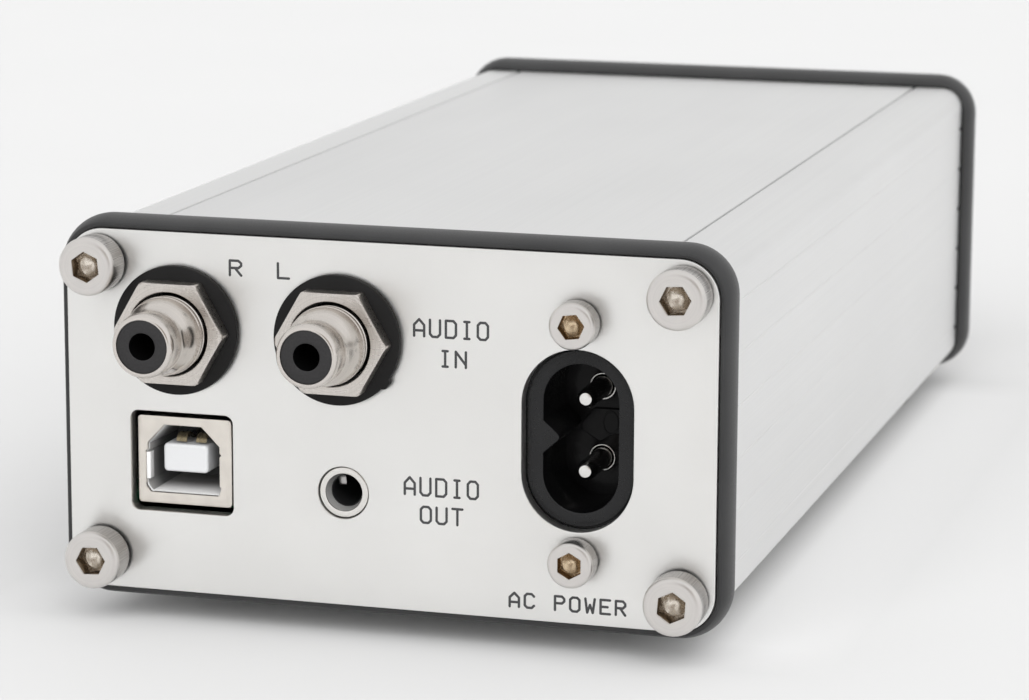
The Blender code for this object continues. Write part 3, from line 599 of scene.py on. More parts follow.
def spin(mesh, angle, axis):
    bmesh.ops.rotate(mesh, cent=(0, 0, 0), matrix=Matrix.Rotation(angle, 3, axis), verts=mesh.verts)


def retag(mesh, test):
    """Gives the second material to the faces whose centre passes the test."""
    for face in mesh.faces:
        if test(face.calc_center_median()):
            face.material_index = 1


def put(name, mesh, looks, origin, node, body="case", smooth=32, turn=(0, 0, 0)):
    """Finishes a piece: millimetre mesh about origin, riding on its body, standing for a node."""
    bmesh.ops.remove_doubles(mesh, verts=mesh.verts, dist=2e-5)
    bmesh.ops.recalc_face_normals(mesh, faces=mesh.faces)
    bmesh.ops.scale(mesh, vec=(MM, MM, MM), verts=mesh.verts)
    data = bpy.data.meshes.new(name)
    mesh.to_mesh(data)
    mesh.free()
    for look in looks:
        data.materials.append(look.material)
    data.shade_smooth()
    data.set_sharp_from_angle(angle=math.radians(smooth))
    piece = bpy.data.objects.new(name, data)
    piece.location = Vector(origin) * MM
    piece.rotation_euler = turn
    bpy.context.scene.collection.objects.link(piece)
    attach(piece, body)
    if node:
        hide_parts(node)


# ================================================================== driving dimensions
body_low, body_high = span("body_extrusion")
MID_Z = (body_low.z + body_high.z) / 2
CASE_X, CASE_Y, CASE_Z = (body_high - body_low) / 2              # half sizes
CASE_CORNER = 3.2
COVER_X = 32.0                               # half width of the cover's upper face
SEAM = 0.35                                  # gap between cover and channel
GROOVES = [15.3 - 6.28 * i for i in range(6)]                    # heights of the side grooves

panel_low, panel_high = span("rear_panel")
PANEL_Y = panel_high.y                       # outer face; the front panel's is at -PANEL_Y
PANEL_THICK = panel_high.y - panel_low.y
PANEL_X, PANEL_Z = (panel_high.x - panel_low.x) / 2, (panel_high.z - panel_low.z) / 2
PANEL_CORNER = 4.5


def at_rear(node):
    """(x, z) of a node on the rear panel, from the panel's middle height."""
    centre = mid(node)
    return centre.x, centre.z - MID_Z


def at_front(node):
    """(x, z) of a node on the front panel, in the panel's turned frame."""
    x, z = at_rear(node)
    return -x, z


def on_rear(node):
    """Origin on the rear panel's outer face."""
    centre = mid(node)
    return centre.x, PANEL_Y, centre.z


def on_front(node):
    """Origin on the front panel's outer face."""
    centre = mid(node)
    return centre.x, -PANEL_Y, centre.z


def reach(node, front=False):
    """(inner, outer) end of a node, measured outwards from its panel's outer face."""
    low, high = span(node)
    if front:
        return -PANEL_Y - high.y, -PANEL_Y - low.y
    return low.y - PANEL_Y, high.y - PANEL_Y


REAR_MIDDLE = (0, PANEL_Y, MID_Z)
FRONT_MIDDLE = (0, -PANEL_Y, MID_Z)
CORNERS = [at_rear(f"rear_screw_{i}") for i in (1, 2, 3, 4)]


# ================================================================== case
def channel_section():
    """Outline of the open-topped channel: ribbed inside, lips at the seams, grooved sides."""
    wall_x = CASE_X - 2.0
    rib_x = wall_x - 1.6
    lip_x = COVER_X + SEAM
    ledge = 17.1
    rib_top = -11.5
    rib_low = rib_top - 1.8
    floor_z = -CASE_Z + 2.0
    inner = [
        (0.0, floor_z), (31.4, floor_z), (31.4, -15.6), (32.6, -14.4), (rib_x, -14.4),
        (rib_x, rib_low), (wall_x, rib_low), (wall_x, rib_top + 0.2), (rib_x, rib_top + 0.2),
        (rib_x, rib_top + 1.5), (wall_x, rib_top + 1.5), (wall_x, 4.4), (rib_x, 4.4),
        (rib_x, 5.7), (wall_x, 5.7), (wall_x, 13.7), (32.4, 13.7), (30.6, 15.1), (30.6, ledge),
        (33.0, ledge), (33.0, CASE_Z - 2.15), (lip_x, CASE_Z - 2.15)]
    edge = 0.16
    lip = [(lip_x, CASE_Z - edge), (lip_x + edge * 0.29, CASE_Z - edge * 0.29),
           (lip_x + edge, CASE_Z)]
    side = arc(CASE_X - CASE_CORNER, CASE_Z - CASE_CORNER, CASE_CORNER, PI / 2, -PI / 2, 16)
    for z in GROOVES:
        side += soften([(CASE_X, z + 0.40), (CASE_X, z + 0.15), (CASE_X - 0.09, z),
                        (CASE_X, z - 0.15), (CASE_X, z - 0.40)], 0.08, 4)
    side += arc(CASE_X - CASE_CORNER, -CASE_Z + CASE_CORNER, CASE_CORNER, 0.0, -PI / 2, 16)
    half = soften(inner, 0.2, 2) + lip + side + [(0.0, -CASE_Z)]
    return half + [(-x, z) for x, z in half[1:-1]][::-1]


def extrude_case(name, section, node, screw_centres=()):
    mesh = bmesh.new()
    ends = tube(mesh, [(section, -CASE_Y), (section, CASE_Y)])
    holes = shafts(mesh, screw_centres, 2.1, 24, -CASE_Y, CASE_Y)
    for outline, inner in zip(ends, holes):
        fill(mesh, outline, inner)
    put(name, mesh, [CASE], (0, 0, MID_Z), node, smooth=28)


extrude_case("case_channel", channel_section(), "body_extrusion", CORNERS)

cover_half = [(27.0, CASE_Z - 2.0), (28.0, 17.35), (32.8, 17.35), (32.8, CASE_Z - 2.4),
              (COVER_X, CASE_Z - 2.4), (COVER_X, CASE_Z - 0.16), (COVER_X - 0.05, CASE_Z - 0.05),
              (COVER_X - 0.16, CASE_Z)]
extrude_case("cover_plate", cover_half + [(-x, z) for x, z in cover_half[::-1]], "top_cover")

BEZEL_BACK = -6.9                            # inner rim, towards the case
BEZEL_WEB = (-2.2, -6.3)                     # outer and inner face of the flange behind the panel
# (growth beyond the panel's outline, depth behind the panel's outer face)
BEZEL_PROFILE = [
    (0.18, 2.2), (0.18, 0.68), (0.20, 0.58), (0.26, 0.52), (0.34, 0.50), (0.62, 0.50),
    (0.70, 0.52), (0.76, 0.57), (0.82, 0.66), (0.90, 0.80), (1.00, 1.00), (1.12, 1.28),
    (1.23, 1.60), (1.33, 1.98), (1.41, 2.38), (1.47, 2.80), (1.50, 3.25), (1.49, 3.75),
    (1.46, 4.2), (1.40, 4.65), (1.31, 5.1), (1.19, 5.5), (1.05, 5.88), (0.89, 6.2),
    (0.73, 6.48), (0.60, 6.68), (0.52, 6.80), (0.46, 6.87), (0.38, 6.9)]


def bezel(name, node, origin, turn=(0, 0, 0)):
    mesh = bmesh.new()
    stack = [(rounded(PANEL_X + t, PANEL_Z + t, PANEL_CORNER + t), -depth)
             for t, depth in BEZEL_PROFILE]
    gap = 0.2                                                     # round the end of the case
    seat = rounded(CASE_X + gap, CASE_Z + gap, CASE_CORNER + gap)
    outer = tube(mesh, stack + [(seat, BEZEL_BACK), (seat, BEZEL_WEB[1])])
    window = rounded(PANEL_X - 3.4, PANEL_Z - 3.4, 10.0)
    inner = tube(mesh, [(window, y) for y in BEZEL_WEB])
    holes = shafts(mesh, CORNERS, 2.3, 20, *BEZEL_WEB)
    fill(mesh, outer[0], [inner[0]] + holes[0])
    fill(mesh, outer[-1], [inner[1]] + holes[1])
    shade_tab_y = (-7.9, -6.8)
    for side in (1, -1):                                          # keys in the grooves and seams: dark tabs that also stand in as painted shade where the grooves meet the bezel
        for z in GROOVES:
            block(mesh, sorted((side * (CASE_X - 0.46), side * (CASE_X + 0.18))), shade_tab_y,
                  (z - 0.30, z + 0.30), 0.1, 1)
        seam_x = side * (COVER_X + 0.17)
        block(mesh, (seam_x - 0.22, seam_x + 0.22), shade_tab_y, (CASE_Z - 0.8, CASE_Z + 0.18), 0.08, 1)
    put(name, mesh, [BEZEL], origin, node, smooth=40, turn=turn)


bezel("rear_bezel_moulding", "rear_bezel", REAR_MIDDLE)
bezel("front_bezel_moulding", "front_bezel", FRONT_MIDDLE, FRONT)


# ------------------------------------------------------------------ panels
def round_hole(radius, place, count=64):
    return lambda t: circle(radius + t, count, *place)


def panel_outline(t):
    return rounded(PANEL_X + 0.12 + t, PANEL_Z + 0.12 + t, PANEL_CORNER + 0.12 + t)


def panel(name, node, origin, holes, turn=(0, 0, 0)):
    """Plate with rounded edges; each hole is a function of an offset."""
    edge = 0.14
    rim = [(edge * (1 - math.sin(a)), edge * (1 - math.cos(a)))
           for a in (0.0, PI / 6, PI / 3, PI / 2)]
    screw_holes = [round_hole(2.25, place, 32) for place in CORNERS]
    mesh = bmesh.new()
    tubes = []
    for outline, sign in [(panel_outline, -1)] + [(hole, 1) for hole in screw_holes + holes]:
        stack = [(outline(sign * t), -depth) for t, depth in rim]
        stack += [(outline(sign * t), depth - PANEL_THICK) for t, depth in rim[::-1]]
        tubes.append(tube(mesh, stack))
    for end in (0, -1):
        fill(mesh, tubes[0][end], [loops[end] for loops in tubes[1:]])
    put(name, mesh, [PANEL], origin, node, turn=turn)


usb_place = at_rear("usb_shell")
inlet_place = at_rear("mains_inlet")
inlet_screws = [at_rear(f"inlet_screw_{i}") for i in (1, 2)]
panel("rear_panel_plate", "rear_panel", REAR_MIDDLE, [
    round_hole(4.8, at_rear("line_in_left_nut")),
    round_hole(4.8, at_rear("line_in_right_nut")),
    lambda t: rounded(6.5 + t, 6.1 + t, 1.05 + t, 8, *usb_place),
    round_hole(3.15, at_rear("line_out_ring")),
    lambda t: stadium(6.7 + t, 10.75 + t, *inlet_place),
    round_hole(1.7, inlet_screws[0], 24), round_hole(1.7, inlet_screws[1], 24)])

button_place = at_front("power_button")
knob_x, knob_z = at_front("volume_knob")
selector_place = at_front("selector_nut")
phones_place = at_front("headphone_nut")
panel("front_panel_plate", "front_panel", FRONT_MIDDLE, [
    round_hole(4.3, button_place, 48), round_hole(3.75, (knob_x, knob_z), 32),
    round_hole(3.25, selector_place, 32), round_hole(4.75, phones_place, 48),
    round_hole(1.7, at_front("power_light"), 24)], FRONT)

# ------------------------------------------------------------------ lettering
# Strokes of each letter on a grid 4 wide and 6 high.
GLYPH = {
    "A": [[(0, 0), (0, 4), (2, 6), (4, 4), (4, 0)], [(0, 2), (4, 2)]],
    "C": [[(4, 5), (3, 6), (1, 6), (0, 5), (0, 1), (1, 0), (3, 0), (4, 1)]],
    "D": [[(0, 0), (0, 6), (3, 6), (4, 5), (4, 1), (3, 0), (0, 0)]],
    "E": [[(4, 6), (0, 6), (0, 0), (4, 0)], [(0, 3), (3, 3)]],
    "H": [[(0, 0), (0, 6)], [(4, 0), (4, 6)], [(0, 3), (4, 3)]],
    "I": [[(1, 6), (3, 6)], [(2, 6), (2, 0)], [(1, 0), (3, 0)]],
    "L": [[(0, 6), (0, 0), (3.6, 0)]],
    "N": [[(0, 0), (0, 6), (4, 1)], [(4, 0), (4, 6)]],
    "O": [[(1, 0), (3, 0), (4, 1), (4, 5), (3, 6), (1, 6), (0, 5), (0, 1), (1, 0)]],
    "P": [[(0, 0), (0, 6), (3, 6), (4, 5), (4, 4), (3, 3), (0, 3)]],
    "R": [[(0, 0), (0, 6), (3, 6), (4, 5), (4, 4), (3, 3), (0, 3)], [(1.8, 3), (4, 0)]],
    "S": [[(4, 5), (3, 6), (1, 6), (0, 5), (0, 4), (1, 3), (3, 3), (4, 2), (4, 1), (3, 0),
           (1, 0), (0, 1)]],
    "T": [[(0, 6), (4, 6)], [(2, 6), (2, 0)]],
    "U": [[(0, 6), (0, 1), (1, 0), (3, 0), (4, 1), (4, 6)]],
    "W": [[(0, 6), (0.8, 0), (2, 3.4), (3.2, 0), (4, 6)]],
    "1": [[(1, 5), (2, 6), (2, 0)], [(1, 0), (3, 0)]],
    " ": [],
}
GLYPH["0"] = GLYPH["O"]
# (words, centre x, top z, bottom z, letter width, pitch)
REAR_TEXT = [
    ("R", 18.40195, 18.99065, 16.94035, 1.72, 2.0),
    ("L", 12.3627, 18.9602, 16.92005, 1.80, 2.0),
    ("AUDIO", -8.06925, 13.32695, 11.0432, 1.52, 1.93),
    ("IN", -8.323, 9.744, 7.6125, 1.52, 1.9),
    ("AUDIO", -6.902, -5.55205, -7.90685, 1.52, 1.93),
    ("OUT", -6.95275, -8.98275, -11.19545, 1.52, 1.93),
    ("AC POWER", -22.25895, -18.4933, -20.45225, 1.42, 1.83)]
FRONT_TEXT = [
    ("0", knob_x + 6.3, -15.0, -17.0, 1.2, 1.6),
    ("10", knob_x - 6.3, -15.0, -17.0, 1.2, 1.6),
    ("POWER", button_place[0], -13.6, -15.6, 1.35, 1.75),
    ("INPUT", selector_place[0], -13.6, -15.6, 1.35, 1.75),
    ("PHONES", phones_place[0], -13.6, -15.6, 1.35, 1.75)]
extra_microns = cycle((1, 2, 3, 4, 5, 6, 7, 8, 0))               # keeps crossing strokes apart


def stroke(mesh, start, end, width):
    """A flat bar with round ends, let in and standing a few microns proud."""
    start, end = Vector(start), Vector(end)
    along = end - start
    angle = math.atan2(along.y, along.x) if along.length > 1e-6 else 0.0
    points = (arc(end.x, end.y, width / 2, angle - PI / 2, PI, 6)
              + arc(start.x, start.y, width / 2, angle + PI / 2, PI, 6))
    skin(mesh, [(points, -0.06), (points, 0.012 + 0.001 * next(extra_microns))])


def text(mesh, rows, line):
    """Words read from outside the panel, drawn with strokes of width line."""
    for words, centre, top, bottom, width, pitch in rows:
        height = top - bottom - line
        x = (len(words) - 1) * pitch / 2 + (width - line) / 2
        for letter in words:
            for path in GLYPH[letter]:
                points = [(centre + x - gx / 4 * (width - line),
                           bottom + line / 2 + gz / 6 * height) for gx, gz in path]
                for start, end in zip(points, points[1:]):
                    stroke(mesh, start, end, line)
            x -= pitch


mesh = bmesh.new()
text(mesh, REAR_TEXT, 0.30)
put("rear_lettering", mesh, [INK], REAR_MIDDLE, None)

mesh = bmesh.new()
for i in range(11):                                              # scale round the volume knob
    a = math.radians(240 - 30 * i)
    stroke(mesh, *[(knob_x - r * math.cos(a), knob_z + r * math.sin(a))
                   for r in (13.1, 14.4 if i % 5 else 15.0)], 0.3)
text(mesh, FRONT_TEXT, 0.25)
put("front_lettering", mesh, [INK], FRONT_MIDDLE, None, turn=FRONT)


# ================================================================== screws
def screw(node, turn_degrees, head_radius, head_height, shank_radius, flats, depth, front=False):
    """Socket screw built from the middle of its hexagon socket out and down to the shank's end.

    Material slots: 0 plain, 1 socket floor in painted light, 2 socket wall in painted shade, 3 head
    side, 4 painted shadow under the head.
    """
    low, high = span(node)
    top, r = head_height, head_radius
    length = (high.y - low.y) - head_height
    count = 48
    floor_y = top - depth
    small = head_radius < 3

    def socket(scale):
        return [(x * scale, z * scale) for x, z in hexagon(flats, count)]

    stack = rings([(flats * 0.06, floor_y - 0.62), (flats * 0.25, floor_y - 0.36),
                   (flats * 0.44, floor_y - 0.06), (flats * 0.46, floor_y)], count)
    stack += [(socket(0.97), floor_y), (socket(1.0), floor_y + 0.08), (socket(1.0), top - 0.07),
              (socket(1.012), top - 0.02), (socket(1.035), top)]
    stack += rings([
        (flats / math.sqrt(3) * 1.05, top), (r * 0.80, top), (r * 0.85, top - 0.015),
        (r * 0.90, top - 0.07), (r * 0.95, top - 0.19), (r * 0.985, top - 0.38), (r, top - 0.62),
        (r, 0.42), (r - 0.03, 0.27), (r - 0.12, 0.19), (r - 0.55, 0.17), (r - 0.55, 0.0),
        (shank_radius, 0.0), (shank_radius, -length + 0.5), (shank_radius - 0.45, -length)], count)
    tags = [1] * 5 + [2] + [0] * 9 + [3] * 2 + [3 if small else 4] * 3 + [0] * 3
    mesh = bmesh.new()
    skin(mesh, stack, tags=tags)
    spin(mesh, math.radians(turn_degrees), "Y")
    y = low.y + head_height if front else high.y - head_height
    inside = [BRASSY_FLOOR_PAINTED_LIGHT, BRASSY_WALL_PAINTED_SHADE] if small else [SOCKET_FLOOR_PAINTED_LIGHT, SOCKET_WALL_PAINTED_SHADE]
    put(node + "_turned", mesh, [SCREW] + inside + [SCREW_SIDE, SHADOW_PAINT],
        ((low.x + high.x) / 2, y, (low.z + high.z) / 2), node, smooth=30,
        turn=FRONT if front else (0, 0, 0))


PANEL_SCREW = dict(head_radius=3.5, head_height=4.0, shank_radius=1.75, flats=3.22, depth=2.1)
INLET_SCREW = dict(head_radius=2.75, head_height=3.0, shank_radius=1.3, flats=2.75, depth=1.5)
for i, degrees in ((1, 36), (2, 3), (3, 4), (4, 26)):
    screw(f"rear_screw_{i}", degrees, **PANEL_SCREW)
    screw(f"front_screw_{i}", degrees + 17, **PANEL_SCREW, front=True)
screw("inlet_screw_1", 7, **INLET_SCREW)
screw("inlet_screw_2", 30, **INLET_SCREW)

# ================================================================== line inputs
# (radius, depth behind the tip) of the barrel's outside, down to the thread
BARREL_PROFILE = [
    (3.14, 0.06), (3.18, 0.01), (3.26, 0.0), (3.36, 0.02), (3.47, 0.07), (3.58, 0.16),
    (3.67, 0.29), (3.74, 0.46), (3.78, 0.68), (3.80, 0.95), (3.80, 1.9), (3.78, 2.5),
    (3.74, 2.85), (3.70, 3.1), (3.69, 3.35), (3.72, 3.6), (3.79, 3.86), (3.90, 4.12),
    (4.04, 4.4), (4.19, 4.72), (4.33, 5.05), (4.44, 5.42), (4.52, 5.8), (4.57, 6.2),
    (4.60, 6.6), (4.61, 7.0), (4.66, 7.05), (4.69, 7.12), (4.69, 7.5), (4.62, 7.62)]


def line_input(side):
    prefix = f"line_in_{side}_"
    origin = on_rear(prefix + "nut")

    # washer, with a small tab on the left input's rim
    node = prefix + "washer"
    low, high = span(node)
    inner, outer = reach(node)
    count = 120
    rim_points = []
    for i in range(count):
        a = 2 * PI * i / count
        from_tab = abs((math.degrees(a) - 219 + 180) % 360 - 180)
        tab = 0.38 if side == "left" and from_tab < 3.2 else 0.0
        rim_points.append((a, (high.x - low.x) / 2 + tab))

    def rim(t):
        return [((r + t) * math.cos(a), (r + t) * math.sin(a)) for a, r in rim_points]

    mesh = bmesh.new()
    bore = circle(4.8, count)
    skin(mesh, [(bore, inner), (rim(0), inner), (rim(0), outer - 0.14), (rim(-0.04), outer - 0.05),
                (rim(-0.14), outer), (bore, outer)], closed=True)
    put(node + "_ring", mesh, [WASHER], origin, node, smooth=35)

    # hexagon nut with rounded corners, with painted shadow in its bore
    node = prefix + "nut"
    inner, outer = reach(node)
    count = 96
    flats = 12.0
    full = hexagon(flats, count, 6.86)
    stack = [(hexagon(flats - 0.1, count, 6.5), inner), (full, inner + 0.14), (full, outer - 0.30)]
    for drop, cut in ((0.20, 6.82), (0.12, 6.75), (0.06, 6.67), (0.02, 6.60)):
        stack.append((hexagon(flats - 0.14 * (0.22 - drop), count, cut), outer - drop))
    stack += [(hexagon(flats - 0.20, count, 6.52), outer),
              (hexagon(flats - 0.6, count, 6.30), outer)]
    stack += rings([(5.10, outer), (5.05, outer - 0.03), (5.02, outer - 0.09),
                    (5.00, outer - 1.1), (4.78, outer - 1.15), (4.76, inner)], count)
    mesh = bmesh.new()
    skin(mesh, stack, closed=True, tags=[0] * (len(stack) - 4) + [1] * 4)
    put(prefix + "hex_nut", mesh, [NUT, SHADOW_PAINT], origin, node, smooth=24)

    # barrel
    node = prefix + "shell"
    tail, tip = reach(node)
    profile = [(3.14, tail)] + [(r, tip - depth) for r, depth in BARREL_PROFILE]
    profile += thread(tip - 7.75, -2.0, pitch=0.5, crest=4.62, root=4.46, drops=(0.18, 0.24, 0.42))
    profile += [(4.6, -2.6), (5.6, -2.6), (5.6, -4.2), (4.0, -4.2), (4.0, tail)]
    put(prefix + "barrel", turned(profile, 72, True), [NICKEL], origin, node,
        smooth=26)

    # insulator, with painted shade in its bore
    node = prefix + "insulator"
    inner, outer = reach(node)
    mesh = turned([(1.58, inner), (1.58, outer - 0.2), (1.61, outer - 0.08), (1.70, outer - 0.01),
                   (1.8, outer), (3.02, outer), (3.08, outer - 0.02), (3.11, outer - 0.08),
                   (3.11, inner)], 64, True)
    retag(mesh, lambda c: math.hypot(c.x, c.z) < 1.62 and c.y < outer - 0.12)
    put(prefix + "core", mesh, [INSULATOR, CAVITY_PAINTED_SHADE], origin, node, smooth=26)

    # contact sleeve, set back in the bore, painted dark as shade
    node = prefix + "contact"
    back, mouth = reach(node)
    mouth -= 6.5
    profile = [(0, mouth - 3.0), (1.0, mouth - 3.0), (1.0, mouth - 0.3), (1.12, mouth - 0.02),
               (1.3, mouth), (1.4, mouth - 0.1), (1.4, back), (0, back)]
    put(prefix + "sleeve", turned(profile, 40), [CONTACT_PAINTED_SHADE], origin, node,
        smooth=26)


line_input("left")
line_input("right")

# ================================================================== mains inlet
inlet_back, inlet_face = reach("mains_inlet")
inlet_floor = inlet_face - 10.0
FLANGE = (-PANEL_THICK - 0.2, -PANEL_THICK - 2.4)                # faces of the flange behind the panel
inlet_origin = on_rear("mains_inlet")


def cavity(t):
    """Plug opening: straight side on the reader's right, vee pointing in on the left."""
    r, straight = 4.5 + t, 4.3
    points = arc(0, straight, r, 0.0, PI, 20)
    points += [(-r, 1.6), (-r, 0.55), (-r, -0.55), (-r, -1.6)]
    points += arc(0, -straight, -r, 0.0, PI, 20)
    return points + [(r, -2.0), (2.75 + t, -0.42), (2.62 + t, -0.2), (2.6 + t, 0.0),
                     (2.62 + t, 0.2), (2.75 + t, 0.42), (r, 2.0)]


def inlet_moulding():
    mesh = bmesh.new()
    outer = tube(mesh, [(stadium(6.45 + t, 10.5 + t), y) for t, y in (
        (-0.30, inlet_face), (-0.12, inlet_face - 0.05), (-0.03, inlet_face - 0.16),
        (0.0, inlet_face - 0.34), (0.0, FLANGE[0]))])
    inner = tube(mesh, [(cavity(t), y) for t, y in (
        (0.26, inlet_face), (0.12, inlet_face - 0.04), (0.03, inlet_face - 0.13),
        (0.0, inlet_face - 0.28), (0.0, inlet_floor))])
    fill(mesh, outer[0], [inner[0]])
    wells = []                                                    # recess round each pin's root
    for i in (1, 2):
        z = at_rear(f"inlet_pin_{i}")[1] - inlet_place[1]
        wells.append(tube(mesh, [(circle(r, 40, 0.0, z), y) for r, y in (
            (1.72, inlet_floor), (1.62, inlet_floor - 0.04), (1.52, inlet_floor - 0.18),
            (1.35, inlet_floor - 0.5), (1.35, inlet_back))]))
    fill(mesh, inner[-1], [well[0] for well in wells])
    flange = tube(mesh, [(stadium(7.2, 17.6), y) for y in FLANGE])
    holes = shafts(mesh, [(0.0, z - inlet_place[1]) for _, z in inlet_screws], 1.65, 20, *FLANGE)
    body = tube(mesh, [(stadium(6.3, 10.3), FLANGE[1]), (stadium(6.1, 10.1), inlet_back)])
    fill(mesh, flange[0], [outer[-1]] + holes[0])
    fill(mesh, flange[1], [body[0]] + holes[1])
    fill(mesh, body[1], [well[-1] for well in wells])
    # faces inside the plug opening get the near-black painted shade
    retag(mesh, lambda c: (inlet_back < c.y < inlet_face - 0.2
                           and abs(c.x) < 4.55 and abs(c.z) < 8.9))
    put("mains_inlet_moulding", mesh, [INLET, CAVITY_PAINTED_SHADE], inlet_origin, "mains_inlet")


def inlet_web():
    """Web between the two wells, with a raised oval ring on it, in the near-black painted shade of the
    cavity.
    """
    mesh = bmesh.new()
    web = soften([(2.5, -0.35), (0.95, 1.75), (-4.42, 1.75), (-4.42, -1.05), (-1.35, -1.35),
                  (0.2, -2.35), (2.5, -0.9)], 0.25, 3, True)
    top = inlet_floor + 0.72
    skin(mesh, [(web, inlet_floor - 0.2), (web, inlet_floor + 0.62),
                ([(x * 0.97 - 0.03, z * 0.95) for x, z in web], top)])
    skin(mesh, [([(-1.15 + 0.98 * x, 0.05 + 1.48 * z) for x, z in circle(scale, 48)], top + y)
                for scale, y in ((1.0, -0.2), (1.0, 0.05), (0.97, 0.08), (0.87, 0.08),
                                 (0.84, 0.05), (0.84, -0.2))], closed=True)
    put("mains_inlet_web", mesh, [CAVITY_PAINTED_SHADE], inlet_origin, None, smooth=30)


def inlet_pin(node):
    """Round pin with a small ring lying round its root."""
    root, tip = reach(node)
    mesh = turned([
        (0, tip), (0.58, tip), (0.72, tip - 0.05), (1.08, tip - 0.55), (1.18, tip - 0.85),
        (1.2, tip - 1.2), (1.2, inlet_floor + 0.35), (1.26, inlet_floor + 0.2),
        (1.26, root + 0.2), (0.9, root), (0, root)], 40)
    turned(circle(0.11, 10, 1.52, inlet_floor + 0.10), 48, True, mesh)
    put(node + "_turned", mesh, [PIN], on_rear(node), node, smooth=30)


inlet_moulding()
inlet_web()
inlet_pin("inlet_pin_1")
inlet_pin("inlet_pin_2")

# ================================================================== USB socket
usb_end, usb_face = reach("usb_shell")
usb_origin = on_rear("usb_shell")
USB_DEPTH = 9.4


def opening(inset):
    """Socket opening: square below with cut corners, chamfered above, small nicks at the sides."""
    x0, x1, z0, z1 = -4.51 + inset, 4.97 - inset, -4.02 + inset, 4.28 - inset
    cut = 2.3
    shoulder = z1 - cut
    return [
        (x1 - 0.62, z0), (x1 - 0.1, z0 + 0.62), (x1, z0 + 0.95), (x1, z0 + 1.2),
        (x1 - 0.02, z0 + 1.25), (x1 - 0.02, shoulder - 1.15), (x1, shoulder - 1.1),
        (x1, shoulder - 0.95), (x1 - 0.25, shoulder - 0.8), (x1 - 0.25, shoulder),
        (x1 - cut - 0.1, z1), (x0 + cut + 0.1, z1), (x0 + 0.12, shoulder),
        (x0 + 0.12, shoulder - 0.8), (x0 - 0.06, shoulder - 0.95), (x0 - 0.06, shoulder - 1.1),
        (x0 + 0.12, shoulder - 1.25), (x0 + 0.12, z0 + 1.25), (x0 - 0.05, z0 + 1.05),
        (x0 - 0.05, z0 + 0.8), (x0 + 0.2, z0 + 0.12), (x0 + 0.35, z0)]


def usb_shell():
    mesh = bmesh.new()
    outer = tube(mesh, [(rounded(5.95 - t, 5.35 - t, 0.45 - t * 0.5, 6), y) for t, y in (
        (0.14, usb_face), (0.04, usb_face - 0.04), (0.0, usb_face - 0.14), (0.0, usb_end))])
    inner = tube(mesh, [(opening(inset), usb_face - depth) for inset, depth in (
        (-0.10, 0.0), (-0.03, 0.04), (0.0, 0.12), (0.03, 0.35), (0.10, 0.5), (0.30, USB_DEPTH))],
        tags=[0, 0, 0, 1, 1])
    fill(mesh, outer[0], [inner[0]])
    fill(mesh, outer[-1])
    fill(mesh, inner[-1])
    for face in mesh.faces:
        centre = face.calc_center_median()
        # the flat back of the opening gets the near-black painted shade
        if all(abs(v.co.y - (usb_face - USB_DEPTH)) < 1e-4 for v in face.verts):
            face.material_index = 3
        elif face.material_index == 1 and centre.x > 4.0 and centre.y < usb_face - 0.6:
            face.material_index = 2                               # wall on the reader's left, in a darker lining copy as painted shade
    put("usb_shell_pressing", mesh, [TIN, LINING_PAINTED_SHADE, LINING_SIDE_PAINTED_SHADE, BACK_PAINTED_SHADE], usb_origin, "usb_shell",
        smooth=30)


def usb_block(name, look, xs, ys, zs, radius):
    mesh = bmesh.new()
    block(mesh, xs, [usb_face + y for y in ys], zs, radius)
    put(name, mesh, [look], usb_origin, None, smooth=30)


def usb_insert():
    """Nylon insert: back and tongue; the back is near-black as painted shade and the nylon darkens
    with depth as painted shade.
    """
    back = usb_face - 9.2
    base = rounded(4.3, 3.6, 0.4, 7, 0.23, 0.1)

    def tongue(t):
        return rounded(2.84 - t, 1.72 - t * 0.8, 0.50 - t * 0.4, 7, 0.24, 0.12)

    mesh = bmesh.new()
    skin(mesh, [(base, back - 0.15), (base, back), (tongue(0.0), back),
                (tongue(0.0), usb_face - 1.3), (tongue(0.03), usb_face - 1.12),
                (tongue(0.11), usb_face - 0.98), (tongue(0.24), usb_face - 0.91),
                (tongue(0.42), usb_face - 0.9)], tags=[1, 1, 0, 0, 0, 0, 0])
    put("usb_insert", mesh, [WHITE_NYLON_PAINTED_SHADE, BACK_PAINTED_SHADE], usb_origin, "usb_insulator", smooth=40)


def usb_contacts():
    """Two sprung contacts over the tongue, in gold darkened as painted shade."""
    base_z = span("usb_contacts")[0].z - MID_Z - usb_place[1]
    # (y from the shell's face, rise)
    path = [(-8.9, 0.0), (-4.4, 0.0), (-3.2, 0.70), (-2.6, 0.95), (-2.1, 0.90), (-1.6, 0.52),
            (-1.35, 0.14)]
    corners = ((-0.66, 0.0), (0.66, 0.0), (0.66, 0.2), (-0.66, 0.2))
    mesh = bmesh.new()
    for x in (-1.62, 0.90):
        sweep(mesh, [[(x + dx, usb_face + y, base_z + rise + dz) for dx, dz in corners]
                     for y, rise in path])
    put("usb_spring_contacts", mesh, [GOLD_PAINTED_SHADE], usb_origin, "usb_contacts", smooth=40)


usb_shell()
# folded edge of the sheet on the reader's right
usb_block("usb_shell_fold", TIN, (-5.99, -5.22), (-6.0, 0.035), (-4.95, 4.85), 0.05)
# strip in the lighter lining colour just inside the reader's left: painted light where the mouth of
# the painted-shade wall catches light
usb_block("usb_side_strip", LINING_PAINTED_SHADE, (4.44, 4.93), (-1.3, -0.10), (-2.45, 0.78), 0.06)
usb_insert()
usb_contacts()

# ================================================================== line output
ring_low, out_face = reach("line_out_ring")
jack_face = out_face - 2.9
ring_low = min(ring_low, jack_face)
out_origin = on_rear("line_out_ring")

